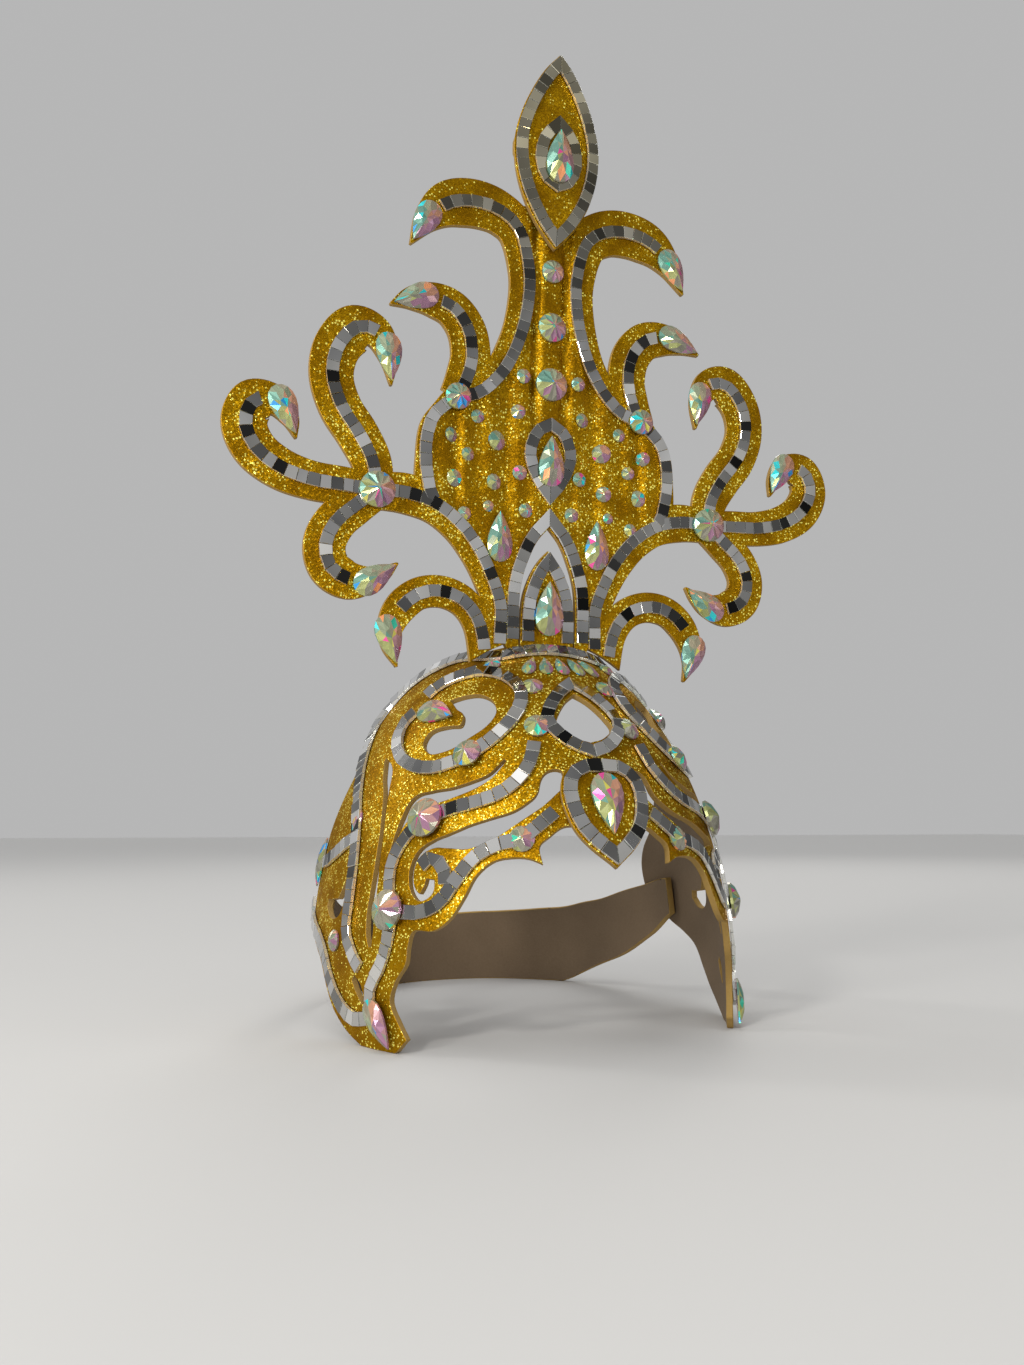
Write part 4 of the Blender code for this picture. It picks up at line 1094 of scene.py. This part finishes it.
foam_sheet(
    "crest_panel", on_vase, -FOAM, 0.0,
    [both_halves(vase_half), *arm_outlines, *map(flipped, arm_outlines)],
    [both_halves(arch_half), below_foot()], CREST_GRID, CREST_FOAM,
)
foam_sheet(
    "base_drop", on_crest, -FOAM, 0.0, [both_halves(drop_half)], [below_foot()], CREST_GRID, CREST_FOAM
)
finial_half = on_crest_curve(FINIAL)
foam_sheet(
    "finial_leaf", on_finial, GAP, LEAF_FRONT, [both_halves(finial_half)], [], CREST_GRID, CREST_FOAM
)

# The crest's rows of mirror tiles
for side, way in SIDES.items():
    paths = {name: on_crest_curve(rows) * [way, 1] for name, rows in ARMS.items()}
    low_row = row(on_crest, above_foot(paths.pop("low")), 0, STONE_END)
    tiles(f"low_arm_mirrors_{side}", [low_row])
    rows = [
        row(on_crest, path, UNDER_SMALL if name in ("upper", "second") else UNDER_LARGE, STONE_END)
        for name, path in paths.items()
    ]
    rows.append(row(on_crest, above_foot(curve(branch) * [way, 1]), UNDER_LARGE, 0))
    rows.append(row(on_crest, on_crest_curve(VASE_SIDE) * [way, 1], UNDER_SMALL, UNDER_SMALL))
    tiles(f"arm_mirrors_{side}", rows)
arch_line = shifted(on_crest, counter_clockwise(both_halves(arch_half)), -BORDER_INSET)
arch_line = upwards(arch_line[arch_line[:, 0] > 0])
drop_line = upwards(half_border(on_crest, drop_half))
leaf_line = half_border(on_finial, finial_half)
leaf_ring = on_crest_curve(FINIAL_RING)[1:-1]
mirrored_tiles(
    ("arch_mirrors", on_crest, arch_line, GAP, False, CREST_SHARES),
    ("drop_mirrors", on_crest, drop_line, GAP, False, CREST_SHARES),
    ("vase_ring", on_crest, on_crest_curve(VASE_RING)[1:-1], GAP, True, CREST_SHARES),
    ("finial_mirrors", on_finial, leaf_line, LEAF_FRONT + GAP, True, FINIAL_SHARES),
    ("finial_ring", on_finial, leaf_ring, LEAF_FRONT + GAP, True, FINIAL_SHARES),
)

# The cap, the forehead's drop and the band behind
cap_outline = both_halves(chained(*map(on_dome_curve, (CAP_REAR, CAP_LOBE, CAP_FRONT, CAP_BROW))))
openings = [both_halves(on_dome_curve(BROW_EYE))]
for rows in SLITS:
    slit = tapered(on_dome, dome_flat(rows["around"], rows["down"]), rows["wide"] * OPENING_WIDTH / 200)
    openings += [slit, flipped(slit)]
comma = dome_flat(COMMA["around"], COMMA["down"])
comma = curve(np.vstack([comma, comma[:1]]))[:-1]
openings += [comma, flipped(comma)]
foam_sheet("cap_shell", on_dome, -FOAM, 0.0, [cap_outline], openings, CAP_GRID, CAP_FOAM)
drop_outline = on_dome_curve(FOREHEAD_DROP)
foam_sheet(
    "forehead_drop", on_dome, GAP, LEAF_FRONT, [both_halves(drop_outline)], [], CAP_GRID, CREST_FOAM
)
band = dome_flat(BACK_BAND["around"], BACK_BAND["down"])
upper = curve(np.vstack([flipped(band[1:2]), band[:BAND_CORNER]]))[CURVE_PARTS:]
lower = curve(np.vstack([band[BAND_CORNER:], flipped(band[-2:-1])]))[:-CURVE_PARTS]
band_half = above_floor(np.vstack([upper, lower]))
foam_sheet(
    "back_band", on_dome, -FOAM - LAP_GAP - BAND_FOAM, -FOAM - LAP_GAP,
    [both_halves(band_half)], [], CAP_GRID, BAND_FINISH,
)

# The cap's rows of mirror tiles, and what is left free at their start and end
BAND_ROWS = ((BAND, 0, 0), (RIM, 0, ROW_ROOM), (CURL, ROW_ROOM, 0), (SIDE_EDGE, 0, EDGE_ROOM))
seam_rows = [tile_corners(on_dome, through_middle(on_dome_curve(SEAM)), GAP)]
for side, way in SIDES.items():
    seam_rows.append(row(on_dome, on_dome_curve(SIDE_TOP) * [way, 1], ROW_ROOM, 0))
    scroll_row = tile_corners(on_dome, on_dome_curve(SCROLL) * [way, 1], GAP)
    tiles(f"scroll_mirrors_{side}", [scroll_row], CAP_SHARES, SEAM_LEAN)
    rows = [row(on_dome, on_dome_curve(path) * [way, 1], *ends) for path, *ends in BAND_ROWS]
    tiles(f"band_mirrors_{side}", rows, CAP_SHARES)
tiles("seam_mirrors", seam_rows, CAP_SHARES, SEAM_LEAN)
drop_border = half_border(on_dome, drop_outline)
mirrored_tiles(
    ("brow_mirrors", on_dome, on_dome_curve(BROW_RING)[1:-1], GAP, True, CAP_SHARES),
    ("forehead_mirrors", on_dome, drop_border, LEAF_FRONT + GAP, True, CAP_SHARES),
)

# Stones on the crest's middle: node, cut, sheet, % of CREST_RISE up, height over the sheet
CREST_MIDDLE = (
    ("neck_round", ("round", 0.0095, 0.0095), on_crest, 61.6, GAP),
    ("chest_round", ("round", 0.0120, 0.0120), on_crest, 52.2, GAP),
    ("belly_round", ("round", 0.0135, 0.0135), on_crest, 42.7, GAP),
    ("vase_navette", ("pear", 0.0210, 0.0110), on_crest, 30.0, ON_MIRROR),
    ("base_drop_pear", LARGE_PEAR, on_crest, 6.3, ON_MIRROR),
    ("finial_pear", LARGE_PEAR, on_finial, 79.9, LEAF_FRONT + ON_MIRROR),
)
for node, cut, place, up, height in CREST_MIDDLE:
    stone(node, cut, place, *crest_flat(0, np.array([up, 100])), height)

# Stones on the crest's sides: name, cut, % across and up, height over the sheet
CREST_PAIRS = (
    ("joint_round", JOINT_ROUND, 55.0, 22.2, ON_MIRROR),
    ("shoulder_round", SMALL_ROUND, 30.8, 38.4, ON_MIRROR),
    ("vase_pear", ("pear", 0.0205, 0.0105), 16.2, 17.2, GAP),
)
for side, way in SIDES.items():
    for name, rows in ARMS.items():
        path = on_crest_curve(rows) * [way, 1]
        tip = trimmed(on_crest, path, 0, TIP_MARGIN)[-1]
        middle = trimmed(on_crest, path, 0, TIP_MARGIN + TIP_PEAR[1] / 2)[-1]
        stone(f"{name}_pear_{side}", TIP_PEAR, on_crest, middle, tip, GAP)
    for name, cut, across, up, height in CREST_PAIRS:
        seat, tip = crest_flat(way * across, np.array([up, 100]))
        stone(f"{name}_{side}", cut, on_crest, seat, tip, height)

# Stones on the cap: name, cut, where each sits, what its tip points to, height
CAP_PAIRS = (
    ("scroll_pear", ("pear", 0.0200, 0.0105), (54.5, 43.4), (44, 45.2), GAP),
    ("scroll_round", SMALL_ROUND, (38, 53.3), (36, 52.6), ON_MIRROR),
    ("band_round", JOINT_ROUND, (47.5, 64.4), (42, 63), ON_MIRROR),
    ("band_joint_round", JOINT_ROUND, (55.2, 78.4), (54.6, 81), ON_MIRROR),
    ("lobe_pear", ("pear", 0.0190, 0.0090), (56.6, 94.6), (53.4, 97.4), ON_MIRROR),
    ("side_navette", ("navette", 0.0200, 0.0085), (98.5, 72.2), (98, 68), GAP),
)


def on_side(way, *spots):
    """Places on the cap's layout from angles around and down, on one side."""
    return [dome_flat(*spot) * [way, 1] for spot in spots]


for side, way in SIDES.items():
    for name, cut, *spots, height in CAP_PAIRS:
        stone(f"{name}_{side}", cut, on_dome, *on_side(way, *spots), height)
stone("forehead_pear", FOREHEAD_PEAR, on_dome, *on_side(1, (0, 62.4), (0, 90)), LEAF_FRONT + GAP)

# Small stones, which have no solid of their own: on the vase, then on the cap
dots = []
for x, up, size in zip(*VASE_DOTS.values()):
    for way in SIDES.values():
        seat = np.array([way * x / 1000, CREST_ROOT + up / 1000])
        tip = seat + [DOT_TURN * chance.normal(), DOT_AHEAD]
        dots.append(("round", size / 1000, size / 1000, VASE_DOT_SIDES, on_vase, seat, tip, TILE_LIFT))
stones("vase_dots", dots)
dots = []
for around, down, size in zip(*CAP_DOTS.values()):
    for way in SIDES.values():
        spots = on_side(way, (around, down), (around, down - DOT_TIP))
        dots.append(("round", size / 1000, size / 1000, CAP_DOT_SIDES, on_dome, *spots, TILE_LIFT))
for way in SIDES.values():
    spots = on_side(way, (74, 65.5), (73, 69))
    dots.append((*SIDE_PEAR, CAP_DOT_SIDES, on_dome, *spots, TILE_LIFT))
for around in FAN:
    spots = on_side(1, (around, FAN_DOWN), (around / 2, FAN_TIPS))
    dots.append((*FAN_PEAR, CAP_DOT_SIDES, on_dome, *spots, TILE_LIFT))
stones("cap_dots", dots)

# Lamps: name, place, width, height, watts, colour
LAMPS = (
    ("key", (-0.90, -0.70, 0.80), 0.14, 0.14, 5, (1.0, 0.97, 0.92)),
    ("side", (-0.62, -0.42, 0.22), 0.10, 0.10, 1.7, (1.0, 0.98, 0.94)),
    ("rear side", (-1.2, 0.8, 0.9), 0.25, 0.25, 4, (1.0, 0.98, 0.94)),
    ("fill", (0.9, -0.7, 0.35), 0.3, 0.5, 0.9, (0.95, 0.98, 1.0)),
    ("low front", (-0.25, -1.0, 0.10), 0.12, 0.10, 2.2, (1.0, 0.96, 0.9)),
    ("rim", (0.9, 1.2, 1.4), 0.5, 1.0, 7, (1.0, 0.98, 0.95)),
)
LAMPS_AIM = Vector((0, -0.03, 0.18))
SUN_STRENGTH, SUN_ANGLE = 1.5, 70
FLOOR_REACH = 6.0
# The room's light: from noise to patches, dimmer towards +X, a glow behind the key,
# and what the camera sees in its place
PATCHES = (0.38, 0.66, 0.14, 0.62)
DIMMER = (0.1, 0.9, 1.0, 0.4)
GLOW_SIDE = (-0.62, -0.47, 0.63)
GLOW = (0.82, 0.97, 0.0, 0.36)
BACKDROP = 0.47
CAMERA_PLACE = np.array([-0.1539, -0.4228, 0.0771])
CAMERA_YAW, CAMERA_PITCH = math.radians(19.86), math.radians(7.69)
# Focal length over the picture's height, and the sensor's height in mm
FOCAL_SHARE = 1049 / 1365
SENSOR = 36


def aimed(thing, direction):
    """Turns a lamp or the camera, which look along their own -Z."""
    thing.rotation_euler = direction.to_track_quat("-Z", "Y").to_euler()


def studio():
    """A pale floor, soft lights and the camera at the photograph's angle."""
    mesh = bpy.data.meshes.new("studio_floor")
    corners = [(x * FLOOR_REACH, y * FLOOR_REACH, 0) for x, y in ((-1, -1), (1, -1), (1, 1), (-1, 1))]
    mesh.from_pydata(corners, [], [(0, 1, 2, 3)])
    pale = {"Base_Color": (0.51, 0.507, 0.50, 1), "Roughness": 0.8, "Specular_IOR_Level": 0.1}
    mesh.materials.append(new_material("pale floor", **pale)[0])
    floor = linked("studio_floor", mesh)

    world = bpy.data.worlds.new("studio")
    bpy.context.scene.world = world
    world.use_nodes = True
    tree = world.node_tree
    around = add_node(tree, "ShaderNodeTexCoord").outputs["Generated"]
    noise = {"Vector": around, "Scale": 4.2, "Detail": 1.0, "Roughness": 0.4}
    noise = add_node(tree, "ShaderNodeTexNoise", noise).outputs["Fac"]
    room = ranged(tree, noise, *PATCHES, interpolation_type="SMOOTHSTEP")
    east = add_node(tree, "ShaderNodeSeparateXYZ", {"Vector": around}).outputs["X"]
    room = worked(tree, "MULTIPLY", room, ranged(tree, east, *DIMMER))
    facing = worked(tree, "DOT_PRODUCT", around, GLOW_SIDE, kind=ON_VECTORS, out="Value")
    glow = ranged(tree, facing, *GLOW, interpolation_type="SMOOTHSTEP")
    room = worked(tree, "ADD", room, glow)
    seen = add_node(tree, "ShaderNodeLightPath").outputs["Is Camera Ray"]
    shade = add_node(tree, "ShaderNodeMix", {0: seen, 2: room, 3: BACKDROP}, data_type="FLOAT")
    set_inputs(tree, tree.nodes["Background"], {"Color": shade.outputs[0], "Strength": 1.0})

    for name, place, wide, high, watts, colour in LAMPS:
        lamp = bpy.data.lights.new(name, "AREA")
        lamp.shape = "RECTANGLE"
        lamp.size, lamp.size_y, lamp.energy, lamp.color = wide, high, watts, colour
        light = linked(name, lamp)
        light.location = place
        aimed(light, LAMPS_AIM - Vector(place))

    # An even light from above keeps the floor pale to its far edge
    lamp = bpy.data.lights.new("overhead", "SUN")
    lamp.energy, lamp.angle = SUN_STRENGTH, math.radians(SUN_ANGLE)
    linked("overhead", lamp).visible_glossy = False
    bpy.context.scene.view_settings.view_transform = "Standard"

    lens = bpy.data.cameras.new("camera")
    lens.sensor_width, lens.lens, lens.clip_start = SENSOR, SENSOR * FOCAL_SHARE, 0.01
    camera = linked("camera", lens)
    camera.location = CAMERA_PLACE + FRAME_SHIFT
    level = math.cos(CAMERA_PITCH)
    ahead = (math.sin(CAMERA_YAW) * level, math.cos(CAMERA_YAW) * level, math.sin(CAMERA_PITCH))
    aimed(camera, Vector(ahead))
    bpy.context.scene.camera = camera


studio()
